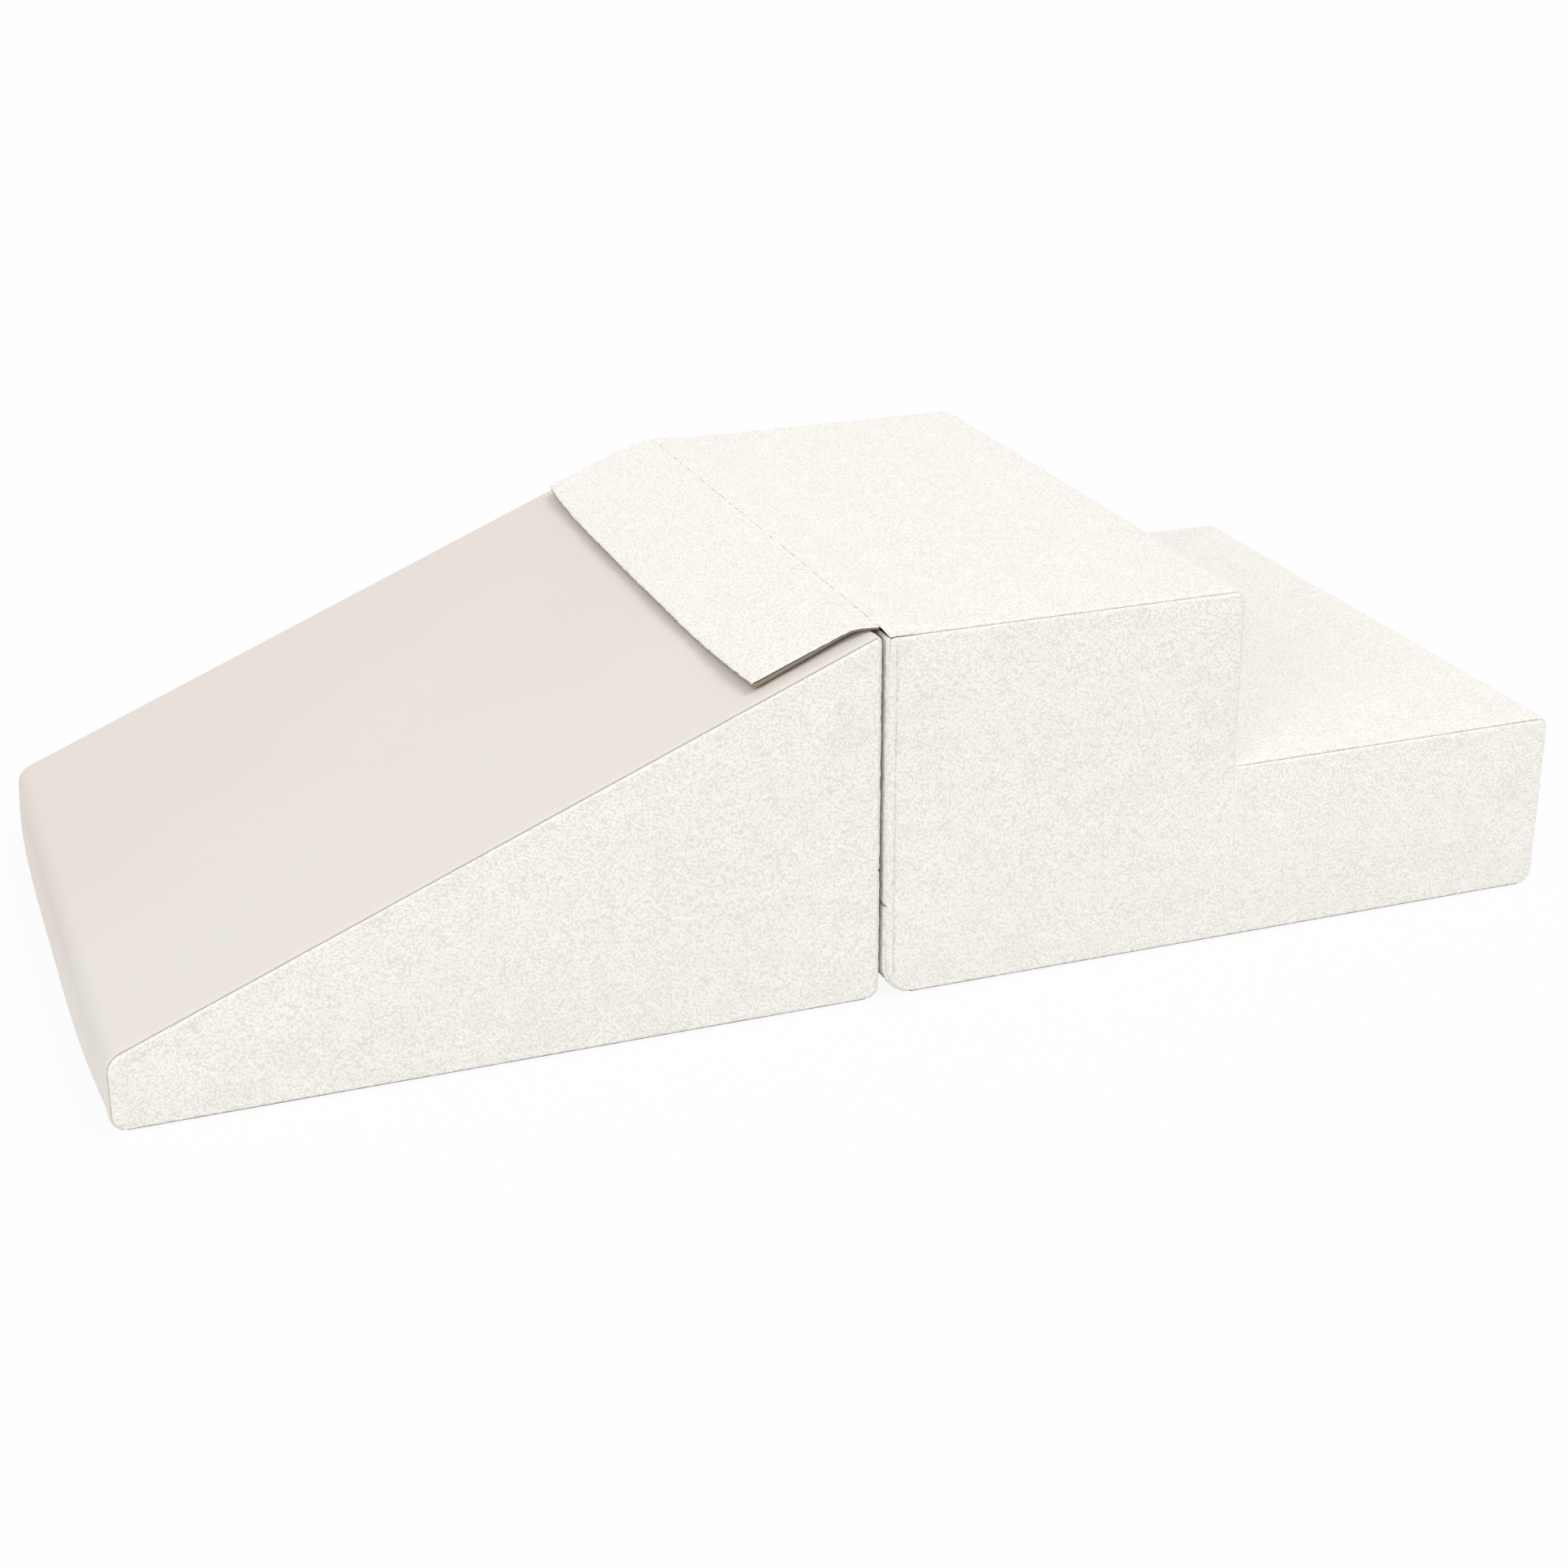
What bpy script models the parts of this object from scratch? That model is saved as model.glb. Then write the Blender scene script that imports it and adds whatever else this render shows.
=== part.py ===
"""Soft play foam climber: a wedge slide and a two-step block, joined by a padded flap.

Metres, +Z up. +X runs from the slide's nose to the lower step, and the near side is at -Y.
The origin is on the floor, at the middle of the whole length and width.
"""

import math

import bmesh
import bpy
from mathutils import Matrix, Vector

# Both modules
MODULE_WIDTH = 0.580
MODULE_GAP = 0.005
SIDE_SEAM_ROUND = 0.005

# Slide, measured to the sharp corners that its rounded edges cut off
SLIDE_LENGTH = 0.600
SLIDE_HEIGHT = 0.308
TOE_HEIGHT = 0.061
RIDGE_ROUND = 0.009
TOE_TOP_ROUND = 0.018
TOE_FOOT_ROUND = 0.014
SLIDE_FOOT_ROUND = 0.012

# Step block
TOP_STEP_LENGTH = 0.307
LOWER_STEP_LENGTH = 0.300
STEP_HEIGHT = 0.306
TREAD_HEIGHT = 0.156
STEP_FOOT_ROUND = 0.028
STEP_EDGE_ROUND = 0.010
FLAP_SEAM_ROUND = 0.009
RISER_FOOT_ROUND = 0.003
FRONT_FOOT_ROUND = 0.014

# How far the padded faces stand proud in their middle
SIDE_CROWN = 0.004
FACE_CROWN = 0.003
SLOPE_CROWN = 0.0015
NOSE_CROWN = 0.008
RISER_CROWN = 0.002
BACK_CROWN = 0.002

# Cover
PANEL_THICKNESS = 0.003
SEAM_GAP = 0.0003
LAYER_GAP = 0.0003
FOOT_SEAM_SHARE = 0.85
MIDDLE_SHARE = 0.5
SIDE_EDGE_SHARE = 0.75
SLIDE_HEART_SHARE = 1 / 3
STEP_HEART_SHARE = 0.8

# Zips in the faces where the modules meet, at heights where their sliders pass each other
SLIDE_ZIP_HEIGHT = 0.112
STEP_ZIP_HEIGHT = 0.080
ZIP_SLOT = 0.026
TAPE_DEPTH = 0.0018
TAPE_THICKNESS = 0.0012
COIL_WIDTH = 0.0024
COIL_THICKNESS = 0.0016
COIL_CHAMFER_SHARE = 1 / 3
SLIDER_LENGTH = 0.012
SLIDER_PLATE = 0.0014
SLIDER_FLANGE = 0.0011
SLIDER_CLEARANCE = 0.0003
SLIDER_END_INSET = 0.014

# Flap
FLAP_SIDE_INSET = 0.016
FLAP_LEVEL_RUN = 0.023
FLAP_FALL_RUN = 0.091
FLAP_KNEE_ROUND = 0.030
FLAP_ROOT_SETBACK = 0.002
FLAP_FACE_THICKNESS = 0.0018
FLAP_FILLER_THICKNESS = 0.0024
FLAP_LINING_THICKNESS = 0.0012
FLAP_TAB_RUN = 0.006
FLAP_TAB_ROUND = 0.006
FLAP_RIDGE_CLEARANCE = 0.0007
FLAP_EDGE_LIFT = 0.0080
FLAP_EDGE_SAG = 0.0045
FLAP_EDGE_BOW = 0.003
HINGE_SETBACK = 0.001

# Hook and loop strips that hold the middle of the flap down
GRIP_LENGTH = 0.400
GRIP_WIDTH = 0.030
GRIP_EDGE_INSET = 0.020
GRIP_THICKNESS = 0.001

# Mesh fineness
ARC_PARTS = 4
LEAST_CROWN_PARTS = 4
RUN_SPACING = 0.080
FLAP_SPACING = 0.0145
BANDS_ACROSS = 6
CAP_SHARES = (0.12, 0.35, 0.68)
LEAST_EDGE = 0.0002
SMOOTH_ANGLE = math.radians(35)

QUARTER_TURN = math.pi / 2
HALF_FLAT = MODULE_WIDTH / 2 - SIDE_SEAM_ROUND
FOAM_DEPTH = PANEL_THICKNESS + LAYER_GAP
FLAP_THICKNESS = FLAP_FACE_THICKNESS + FLAP_FILLER_THICKNESS + FLAP_LINING_THICKNESS + 2 * LAYER_GAP
HALF_FLAP = MODULE_WIDTH / 2 - FLAP_SIDE_INSET

# Places along X, which keep the bulging ends equally far from the origin
STEP_REACH = MODULE_GAP + TOP_STEP_LENGTH + LOWER_STEP_LENGTH
SLIDE_BACK = (SLIDE_LENGTH + NOSE_CROWN - STEP_REACH - FACE_CROWN) / 2
SLIDE_TOE = SLIDE_BACK - SLIDE_LENGTH
STEP_BACK = SLIDE_BACK + MODULE_GAP
RISER = STEP_BACK + TOP_STEP_LENGTH
STEP_FRONT = RISER + LOWER_STEP_LENGTH


def swell(share):
    """How full a padded face is at a share of its run: 0 at both seams and 1 in the middle."""
    return 1 - (2 * share - 1) ** 4


# Outlines in X and Z


class Outline:
    """A path of straight runs and round corners with the material on its left.

    Each named corner is (x, z, radius, crown), where crown is how far the run that leaves it stands
    proud of a straight line.
    """

    def __init__(self, named_corners, closed=True):
        self.pieces = []
        self.length = 0
        self.corner_arcs = {}
        names = list(named_corners)
        corners = list(named_corners.values())
        points = [Vector(corner[:2]) for corner in corners]
        count = len(corners)
        trims = [0] * count
        arcs = [None] * count
        inner = range(count) if closed else range(1, count - 1)
        for i in inner:
            radius = corners[i][2]
            if not radius:
                continue
            into = (points[i] - points[i - 1]).normalized()
            out = (points[(i + 1) % count] - points[i]).normalized()
            turn = math.atan2(into.x * out.y - into.y * out.x, into.dot(out))
            trims[i] = radius * math.tan(abs(turn) / 2)
            bend = math.copysign(radius, turn)
            centre = points[i] - into * trims[i] + Vector((-into.y, into.x)) * bend
            arcs[i] = (centre, bend, math.atan2(-into.x, into.y), turn)
        for i in range(count):
            self.corner_arcs[names[i]] = (self.length, 0, None)
            if arcs[i]:
                self.corner_arcs[names[i]] = self.add("arc", abs(arcs[i][1] * arcs[i][3]), arcs[i])
            if i + 1 < count or closed:
                after = (i + 1) % count
                along = points[after] - points[i]
                run = along.length - trims[i] - trims[after]
                if run > LEAST_EDGE:
                    start = points[i] + along.normalized() * trims[i]
                    self.add("run", run, (start, along.normalized(), corners[i][3]))

    def add(self, kind, length, data):
        piece = (self.length, length, kind, data)
        self.pieces.append(piece)
        self.length += length
        return piece[0], length, data

    def at(self, distance):
        """The point at a distance along the path, its outward normal, and the crown there."""
        if distance > self.length:
            distance -= self.length
        for start, length, kind, data in self.pieces:
            if distance <= start + length:
                break
        share = min(1, max(0, (distance - start) / length))
        if kind == "arc":
            centre, bend, angle, turn = data
            heading = angle + turn * share
            normal = Vector((math.cos(heading), math.sin(heading)))
            return centre + normal * bend, normal, 0
        first, heading, crown = data
        normal = Vector((heading.y, -heading.x))
        return first + heading * (length * share), normal, crown * swell(share)

    def seam(self, corner, share):
        """The distance of a seam at a share of a corner's arc."""
        start, length, _ = self.corner_arcs[corner]
        return start + length * share

    def arc_centre(self, corner):
        """The centre of a corner's arc, and its radius."""
        return self.corner_arcs[corner][2][:2]

    def half_gap(self, corner):
        """Half a seam's gap, measured on the outer face and kept open on the inner face."""
        arc = self.corner_arcs[corner][2]
        if arc and arc[1] > PANEL_THICKNESS:
            return SEAM_GAP / 2 * arc[1] / (arc[1] - PANEL_THICKNESS)
        return SEAM_GAP / 2

    def stops(self, start, end, spacing=RUN_SPACING):
        """Distances from start to end that keep the corners round and the runs in even parts."""
        found = []
        for first, length, kind, data in self.pieces:
            parts = ARC_PARTS
            if kind == "run":
                parts = max(LEAST_CROWN_PARTS if data[2] else 1, round(length / spacing))
            found += [first + length * k / parts for k in range(parts)]
        found += [distance + self.length for distance in found] + [self.length]
        kept = [d for d in sorted(found) if start + LEAST_EDGE < d < end - LEAST_EDGE]
        return [start] + kept + [end]


# Meshes


def new_material(name, color, roughness, metallic=0.0):
    material = bpy.data.materials.new(name)
    material.use_nodes = True
    shader = material.node_tree.nodes["Principled BSDF"]
    shader.inputs["Base Color"].default_value = (*color, 1)
    shader.inputs["Roughness"].default_value = roughness
    shader.inputs["Metallic"].default_value = metallic
    return material


def new_object(name, mesh_builder, material):
    """An object from a bmesh, shaded smooth, with its faces pointing out."""
    bmesh.ops.recalc_face_normals(mesh_builder, faces=mesh_builder.faces)
    mesh = bpy.data.meshes.new(name)
    mesh_builder.to_mesh(mesh)
    mesh_builder.free()
    mesh.shade_smooth()
    mesh.set_sharp_from_angle(angle=SMOOTH_ANGLE)
    mesh.materials.append(material)
    piece = bpy.data.objects.new(name, mesh)
    bpy.context.collection.objects.link(piece)
    return piece


def new_carrier(name, location):
    """An empty on the line that a moving body slides along or turns about."""
    carrier = bpy.data.objects.new(name, None)
    carrier.location = location
    bpy.context.collection.objects.link(carrier)
    return carrier


def hang_on(carrier, pieces):
    for piece in pieces:
        piece.data.transform(Matrix.Translation(-carrier.location))
        piece.parent = carrier


def slab(name, outer, inner, material):
    """A closed solid between two matching grids of points."""
    built = bmesh.new()
    grids = [[[built.verts.new(point) for point in row] for row in grid] for grid in (outer, inner)]
    rows, columns = len(outer), len(outer[0])
    for grid in grids:
        for i in range(rows - 1):
            for j in range(columns - 1):
                built.faces.new((grid[i][j], grid[i + 1][j], grid[i + 1][j + 1], grid[i][j + 1]))
    top, under = grids
    for j in range(columns - 1):
        for i in (0, rows - 1):
            built.faces.new((top[i][j], top[i][j + 1], under[i][j + 1], under[i][j]))
    for i in range(rows - 1):
        for j in (0, columns - 1):
            built.faces.new((top[i][j], top[i + 1][j], under[i + 1][j], under[i][j]))
    return new_object(name, built, material)


def band(built, first, second):
    """Quads between two closed rings of vertices."""
    for k in range(len(first)):
        after = (k + 1) % len(first)
        built.faces.new((first[k], first[after], second[after], second[k]))


def lofted(name, rings, material):
    """A closed solid through rings of points, with a flat face on each end."""
    built = bmesh.new()
    loops = [[built.verts.new(point) for point in ring] for ring in rings]
    for first, second in zip(loops, loops[1:]):
        band(built, first, second)
    built.faces.new(loops[0])
    built.faces.new(loops[-1])
    return new_object(name, built, material)


# Covers


def skin(outline, distance, turn, share, depth, fullness):
    """A point of a module's skin.

    turn is the angle round the side seam, a quarter turn at the side face. share is the place across
    the flat part, from -1 near to 1 far. depth is below the outer face, and fullness scales the crown.
    """
    point, normal, crown = outline.at(distance)
    rise = crown * swell((share + 1) / 2) * fullness
    inset = SIDE_SEAM_ROUND - (SIDE_SEAM_ROUND - depth) * math.cos(turn) - rise
    place = point - normal * inset
    across = share * HALF_FLAT + (SIDE_SEAM_ROUND - depth) * math.sin(turn)
    return Vector((place.x, across, place.y))


SEAM_SLACK = SEAM_GAP / 2 / (SIDE_SEAM_ROUND - PANEL_THICKNESS)


def stations(bands):
    """Places across a wrapped panel, as (turn, share), from the near side seam to the far one."""
    edge = [(QUARTER_TURN / 2 - SEAM_SLACK, 1), (QUARTER_TURN / 4, 1)]
    flat = [(0, 2 * k / bands - 1) for k in range(bands + 1)]
    return [(-turn, -share) for turn, share in edge] + flat + edge[::-1]


def wrap(name, outline, span, places, outside, inside, material):
    """A strip round a module between two distances; outside and inside are (depth, fullness)."""
    grids = [
        [[skin(outline, d, *place, *face) for place in places] for d in outline.stops(*span)]
        for face in (outside, inside)
    ]
    return slab(name, *grids, material)


def cover_panel(name, outline, first, last, material, bands=BANDS_ACROSS):
    """A wrapped panel from one seam to the next; first and last are (corner, share of its arc)."""
    start = outline.seam(*first) + outline.half_gap(first[0])
    end = outline.seam(*last) - outline.half_gap(last[0])
    if end < start:
        end += outline.length
    places = stations(bands)
    piece = wrap(name, outline, (start, end), places, (0, 1), (PANEL_THICKNESS, 0), material)
    return piece, outline.stops(start, end)


def side_panel(name, outline, distances, side, heart, material):
    """The padded side of a module, whose crown rises from its seam to its heart."""
    built = bmesh.new()
    seam_turn = QUARTER_TURN / 2 + SEAM_SLACK

    def ring(turn, depth):
        return [skin(outline, d, side * turn, side, depth, 0) for d in distances]

    rings = [ring(turn, 0) for turn in (seam_turn, QUARTER_TURN * SIDE_EDGE_SHARE, QUARTER_TURN)]
    middle = Vector((heart[0], side * MODULE_WIDTH / 2, heart[1]))
    for share in CAP_SHARES:
        rise = Vector((0, side * SIDE_CROWN * (1 - (1 - share) ** 4), 0))
        rings.append([point.lerp(middle, share) + rise for point in rings[2]])
    loops = [[built.verts.new(point) for point in one] for one in rings]
    for first, second in zip(loops, loops[1:]):
        band(built, first, second)
    peak = built.verts.new(middle + Vector((0, side * SIDE_CROWN, 0)))
    for k, vertex in enumerate(loops[-1]):
        built.faces.new((vertex, loops[-1][(k + 1) % len(distances)], peak))
    under = [ring(seam_turn, PANEL_THICKNESS), ring(QUARTER_TURN, PANEL_THICKNESS)]
    under_loops = [[built.verts.new(point) for point in one] for one in under]
    band(built, under_loops[0], under_loops[1])
    band(built, loops[0], under_loops[0])
    built.faces.new(under_loops[1])
    return new_object(name, built, material)


def foam_block(name, outline, material):
    """Foam that fills a cover of this outline, rounded where the side seams are."""
    distances = outline.stops(0, outline.length, outline.length)[:-1]
    turns = (QUARTER_TURN, QUARTER_TURN / 2, 0)
    places = [(-turn, -1) for turn in turns] + [(turn, 1) for turn in turns[::-1]]
    rings = [[skin(outline, d, *place, FOAM_DEPTH, 0) for d in distances] for place in places]
    return lofted(name, rings, material)


# Zips


def profile_along_y(name, profile, start, end, material):
    """A straight bar of an (x, z) profile."""
    rings = [[Vector((x, y, z)) for x, z in profile] for y in (start, end)]
    return lofted(name, rings, material)


def add_zip(prefix, outline, slot, face, height, facing, materials):
    """Tapes, coils and slider of the zip in a module's inner face; facing is the way it looks in X."""
    lower_first = facing > 0
    slot_start, slot_end = outline.seam(slot[0], 0), outline.seam(slot[1], 0)
    middle = (slot_start + slot_end) / 2
    half_gap = SEAM_GAP / 2
    spans = [(slot_start + half_gap, middle - half_gap), (middle + half_gap, slot_end - half_gap)]
    names = ["lower", "upper"] if lower_first else ["upper", "lower"]
    tape_faces = (TAPE_DEPTH, 0), (TAPE_DEPTH + TAPE_THICKNESS, 0)
    pieces = []
    used = []
    for label, span in zip(names, spans):
        name = f"{prefix}_zip_tape_{label}"
        pieces.append(wrap(name, outline, span, stations(1), *tape_faces, materials["zip_tape"]))
        used += outline.stops(*span)
    coil_back = face - facing * (TAPE_DEPTH - LAYER_GAP)
    coil_front = coil_back + facing * COIL_THICKNESS
    coil_chamfer = facing * COIL_THICKNESS * COIL_CHAMFER_SHARE
    for label, side in (("upper", 1), ("lower", -1)):
        near = height + side * half_gap
        far = near + side * COIL_WIDTH
        profile = [
            (coil_back, near),
            (coil_front, near),
            (coil_front, far - side * COIL_WIDTH * COIL_CHAMFER_SHARE),
            (coil_front - coil_chamfer, far),
            (coil_back, far),
        ]
        name = f"{prefix}_zip_coil_{label}"
        pieces.append(profile_along_y(name, profile, -HALF_FLAT, HALF_FLAT, materials["zip_coil"]))
    half_mouth = half_gap + COIL_WIDTH + SLIDER_CLEARANCE
    half_body = half_mouth + SLIDER_FLANGE
    plate_under = coil_front + facing * SLIDER_CLEARANCE
    plate_top = plate_under + facing * SLIDER_PLATE
    lip = coil_back
    section = [
        (lip, half_mouth),
        (plate_under, half_mouth),
        (plate_under, -half_mouth),
        (lip, -half_mouth),
        (lip, -half_body),
        (plate_top - facing * SLIDER_FLANGE / 2, -half_body),
        (plate_top, -half_mouth),
        (plate_top, half_mouth),
        (plate_top - facing * SLIDER_FLANGE / 2, half_body),
        (lip, half_body),
    ]
    profile = [(x, height + z) for x, z in section]
    slider_end = HALF_FLAT - SLIDER_END_INSET
    slider_start = slider_end - SLIDER_LENGTH
    name = f"{prefix}_zip_slider"
    slider = profile_along_y(name, profile, slider_start, slider_end, materials["zip_slider"])
    carrier = new_carrier(f"{prefix}_zip_line", Vector((face, (slider_start + slider_end) / 2, height)))
    hang_on(carrier, [slider])
    return pieces, used, carrier


# Modules


def tidy_distances(outline, distances):
    """The distances round an outline once each, in order."""
    kept = []
    for distance in sorted(d % outline.length for d in distances):
        if not kept or distance - kept[-1] > LEAST_EDGE / 2:
            kept.append(distance)
    return kept


def make_slide(materials):
    """The wedge: foam core, beige slope panel, boucle sides and back, base cloth and zip."""
    outline = Outline(
        {
            "foot": (SLIDE_BACK, 0, SLIDE_FOOT_ROUND, 0),
            "slot_foot": (SLIDE_BACK, SLIDE_ZIP_HEIGHT - ZIP_SLOT / 2, 0, 0),
            "slot_head": (SLIDE_BACK, SLIDE_ZIP_HEIGHT + ZIP_SLOT / 2, 0, BACK_CROWN),
            "ridge": (SLIDE_BACK, SLIDE_HEIGHT, RIDGE_ROUND, SLOPE_CROWN),
            "toe_top": (SLIDE_TOE, TOE_HEIGHT, TOE_TOP_ROUND, NOSE_CROWN),
            "toe_foot": (SLIDE_TOE, 0, TOE_FOOT_ROUND, 0),
        }
    )
    heart = (SLIDE_BACK - SLIDE_LENGTH * SLIDE_HEART_SHARE, SLIDE_HEIGHT * SLIDE_HEART_SHARE)
    boucle, beige, base_cloth = (materials[key] for key in ("boucle", "faux_leather", "base_cloth"))
    toe_seam = ("toe_foot", FOOT_SEAM_SHARE)
    foot_seam = ("foot", 1 - FOOT_SEAM_SHARE)
    ridge_seam = ("ridge", MIDDLE_SHARE)
    parts = [
        ("slide_back_panel_lower", foot_seam, ("slot_foot", 0), boucle),
        ("slide_back_panel_upper", ("slot_head", 0), ridge_seam, boucle),
        ("slide_slope_panel", ridge_seam, toe_seam, beige),
        ("slide_base_panel", toe_seam, foot_seam, base_cloth),
    ]
    pieces, distances = [foam_block("slide_foam_core", outline, materials["foam"])], []
    for name, first, last, material in parts:
        bands = 1 if name.endswith("base_panel") else BANDS_ACROSS
        piece, used = cover_panel(name, outline, first, last, material, bands)
        pieces.append(piece)
        distances += used
    zip_pieces, used, zip_line = add_zip(
        "slide", outline, ("slot_foot", "slot_head"), SLIDE_BACK, SLIDE_ZIP_HEIGHT, 1, materials
    )
    pieces += zip_pieces
    distances = tidy_distances(outline, distances + used)
    for label, side in (("near", -1), ("far", 1)):
        name = f"slide_side_panel_{label}"
        pieces.append(side_panel(name, outline, distances, side, heart, boucle))
    pieces.append(make_loop_strip(outline, materials["loop_tape"]))
    carrier = new_carrier("slide_line", Vector((SLIDE_BACK, 0, 0)))
    hang_on(carrier, pieces)
    return outline, carrier, zip_line


def make_steps(materials):
    """The two-step block: two glued foam blocks in a cover with L-shaped sides."""
    outline = Outline(
        {
            "foot": (STEP_BACK, 0, STEP_FOOT_ROUND, 0),
            "front_foot": (STEP_FRONT, 0, FRONT_FOOT_ROUND, FACE_CROWN),
            "tread_edge": (STEP_FRONT, TREAD_HEIGHT, STEP_EDGE_ROUND, FACE_CROWN),
            "riser_foot": (RISER, TREAD_HEIGHT, RISER_FOOT_ROUND, RISER_CROWN),
            "top_edge": (RISER, STEP_HEIGHT, STEP_EDGE_ROUND, FACE_CROWN),
            "flap_seam": (STEP_BACK, STEP_HEIGHT, FLAP_SEAM_ROUND, BACK_CROWN),
            "slot_head": (STEP_BACK, STEP_ZIP_HEIGHT + ZIP_SLOT / 2, 0, 0),
            "slot_foot": (STEP_BACK, STEP_ZIP_HEIGHT - ZIP_SLOT / 2, 0, 0),
        }
    )
    heart = (STEP_BACK + TOP_STEP_LENGTH * STEP_HEART_SHARE, TREAD_HEIGHT * STEP_HEART_SHARE)
    boucle, base_cloth = materials["boucle"], materials["base_cloth"]
    base_start = ("foot", FOOT_SEAM_SHARE)
    front_seam = ("front_foot", 1 - FOOT_SEAM_SHARE)
    tread_seam, riser_seam, top_seam, flap_seam = (
        (corner, MIDDLE_SHARE) for corner in ("tread_edge", "riser_foot", "top_edge", "flap_seam")
    )
    parts = [
        ("step_base_panel", base_start, front_seam, base_cloth),
        ("step_front_panel", front_seam, tread_seam, boucle),
        ("step_tread_panel", tread_seam, riser_seam, boucle),
        ("step_riser_panel", riser_seam, top_seam, boucle),
        ("step_top_panel", top_seam, flap_seam, boucle),
        ("step_back_panel_upper", flap_seam, ("slot_head", 0), boucle),
        ("step_back_panel_lower", ("slot_foot", 0), base_start, boucle),
    ]
    distances = []
    for name, first, last, material in parts:
        bands = 1 if name.endswith("base_panel") else BANDS_ACROSS
        distances += cover_panel(name, outline, first, last, material, bands)[1]
    slot = ("slot_head", "slot_foot")
    _, used, _ = add_zip("step", outline, slot, STEP_BACK, STEP_ZIP_HEIGHT, -1, materials)
    distances = tidy_distances(outline, distances + used)
    for label, side in (("near", -1), ("far", 1)):
        side_panel(f"step_side_panel_{label}", outline, distances, side, heart, boucle)
    base_block = Outline(
        {
            "foot": (STEP_BACK, 0, STEP_FOOT_ROUND, 0),
            "front_foot": (STEP_FRONT, 0, FRONT_FOOT_ROUND, 0),
            "front_head": (STEP_FRONT, TREAD_HEIGHT, STEP_EDGE_ROUND, 0),
            "head": (STEP_BACK, TREAD_HEIGHT, STEP_EDGE_ROUND, 0),
        }
    )
    foam_block("step_foam_base_block", base_block, materials["foam"])
    block_foot = TREAD_HEIGHT - 2 * FOAM_DEPTH + LAYER_GAP
    top_block = Outline(
        {
            "foot": (STEP_BACK, block_foot, STEP_EDGE_ROUND, 0),
            "front_foot": (RISER, block_foot, STEP_EDGE_ROUND, 0),
            "front_head": (RISER, STEP_HEIGHT, STEP_EDGE_ROUND, 0),
            "head": (STEP_BACK, STEP_HEIGHT, FLAP_SEAM_ROUND, 0),
        }
    )
    foam_block("step_foam_top_block", top_block, materials["foam"])
    return outline


# Flap

SLOPE_DIRECTION = Vector((SLIDE_TOE - SLIDE_BACK, TOE_HEIGHT - SLIDE_HEIGHT)).normalized()
SLOPE_NORMAL = Vector((SLOPE_DIRECTION.y, -SLOPE_DIRECTION.x))


def grip_span(knee_to_start):
    """Where the hook and loop strips begin and end, measured down the fall of the flap."""
    end = knee_to_start + FLAP_FALL_RUN - GRIP_EDGE_INSET
    return end - GRIP_WIDTH, end


def make_loop_strip(outline, material):
    """The loop tape sewn on the slope, under the hook strip of the flap."""
    flap_root = STEP_BACK + FLAP_ROOT_SETBACK
    knee_from_ridge = (SLIDE_BACK - (flap_root - FLAP_LEVEL_RUN)) / -SLOPE_DIRECTION.x
    arc_start, arc_length, arc = outline.corner_arcs["ridge"]
    trim = arc[1] * math.tan(arc[3] / 2)
    start, end = (arc_start + arc_length - trim + d for d in grip_span(knee_from_ridge))
    reach = GRIP_LENGTH / 2 / HALF_FLAT
    bands = BANDS_ACROSS - 2
    places = [(0, reach * (2 * k / bands - 1)) for k in range(bands + 1)]
    faces = (-LAYER_GAP - GRIP_THICKNESS, 1), (-LAYER_GAP, 1)
    return wrap("slide_loop_strip", outline, (start, end), places, *faces, material)


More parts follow.
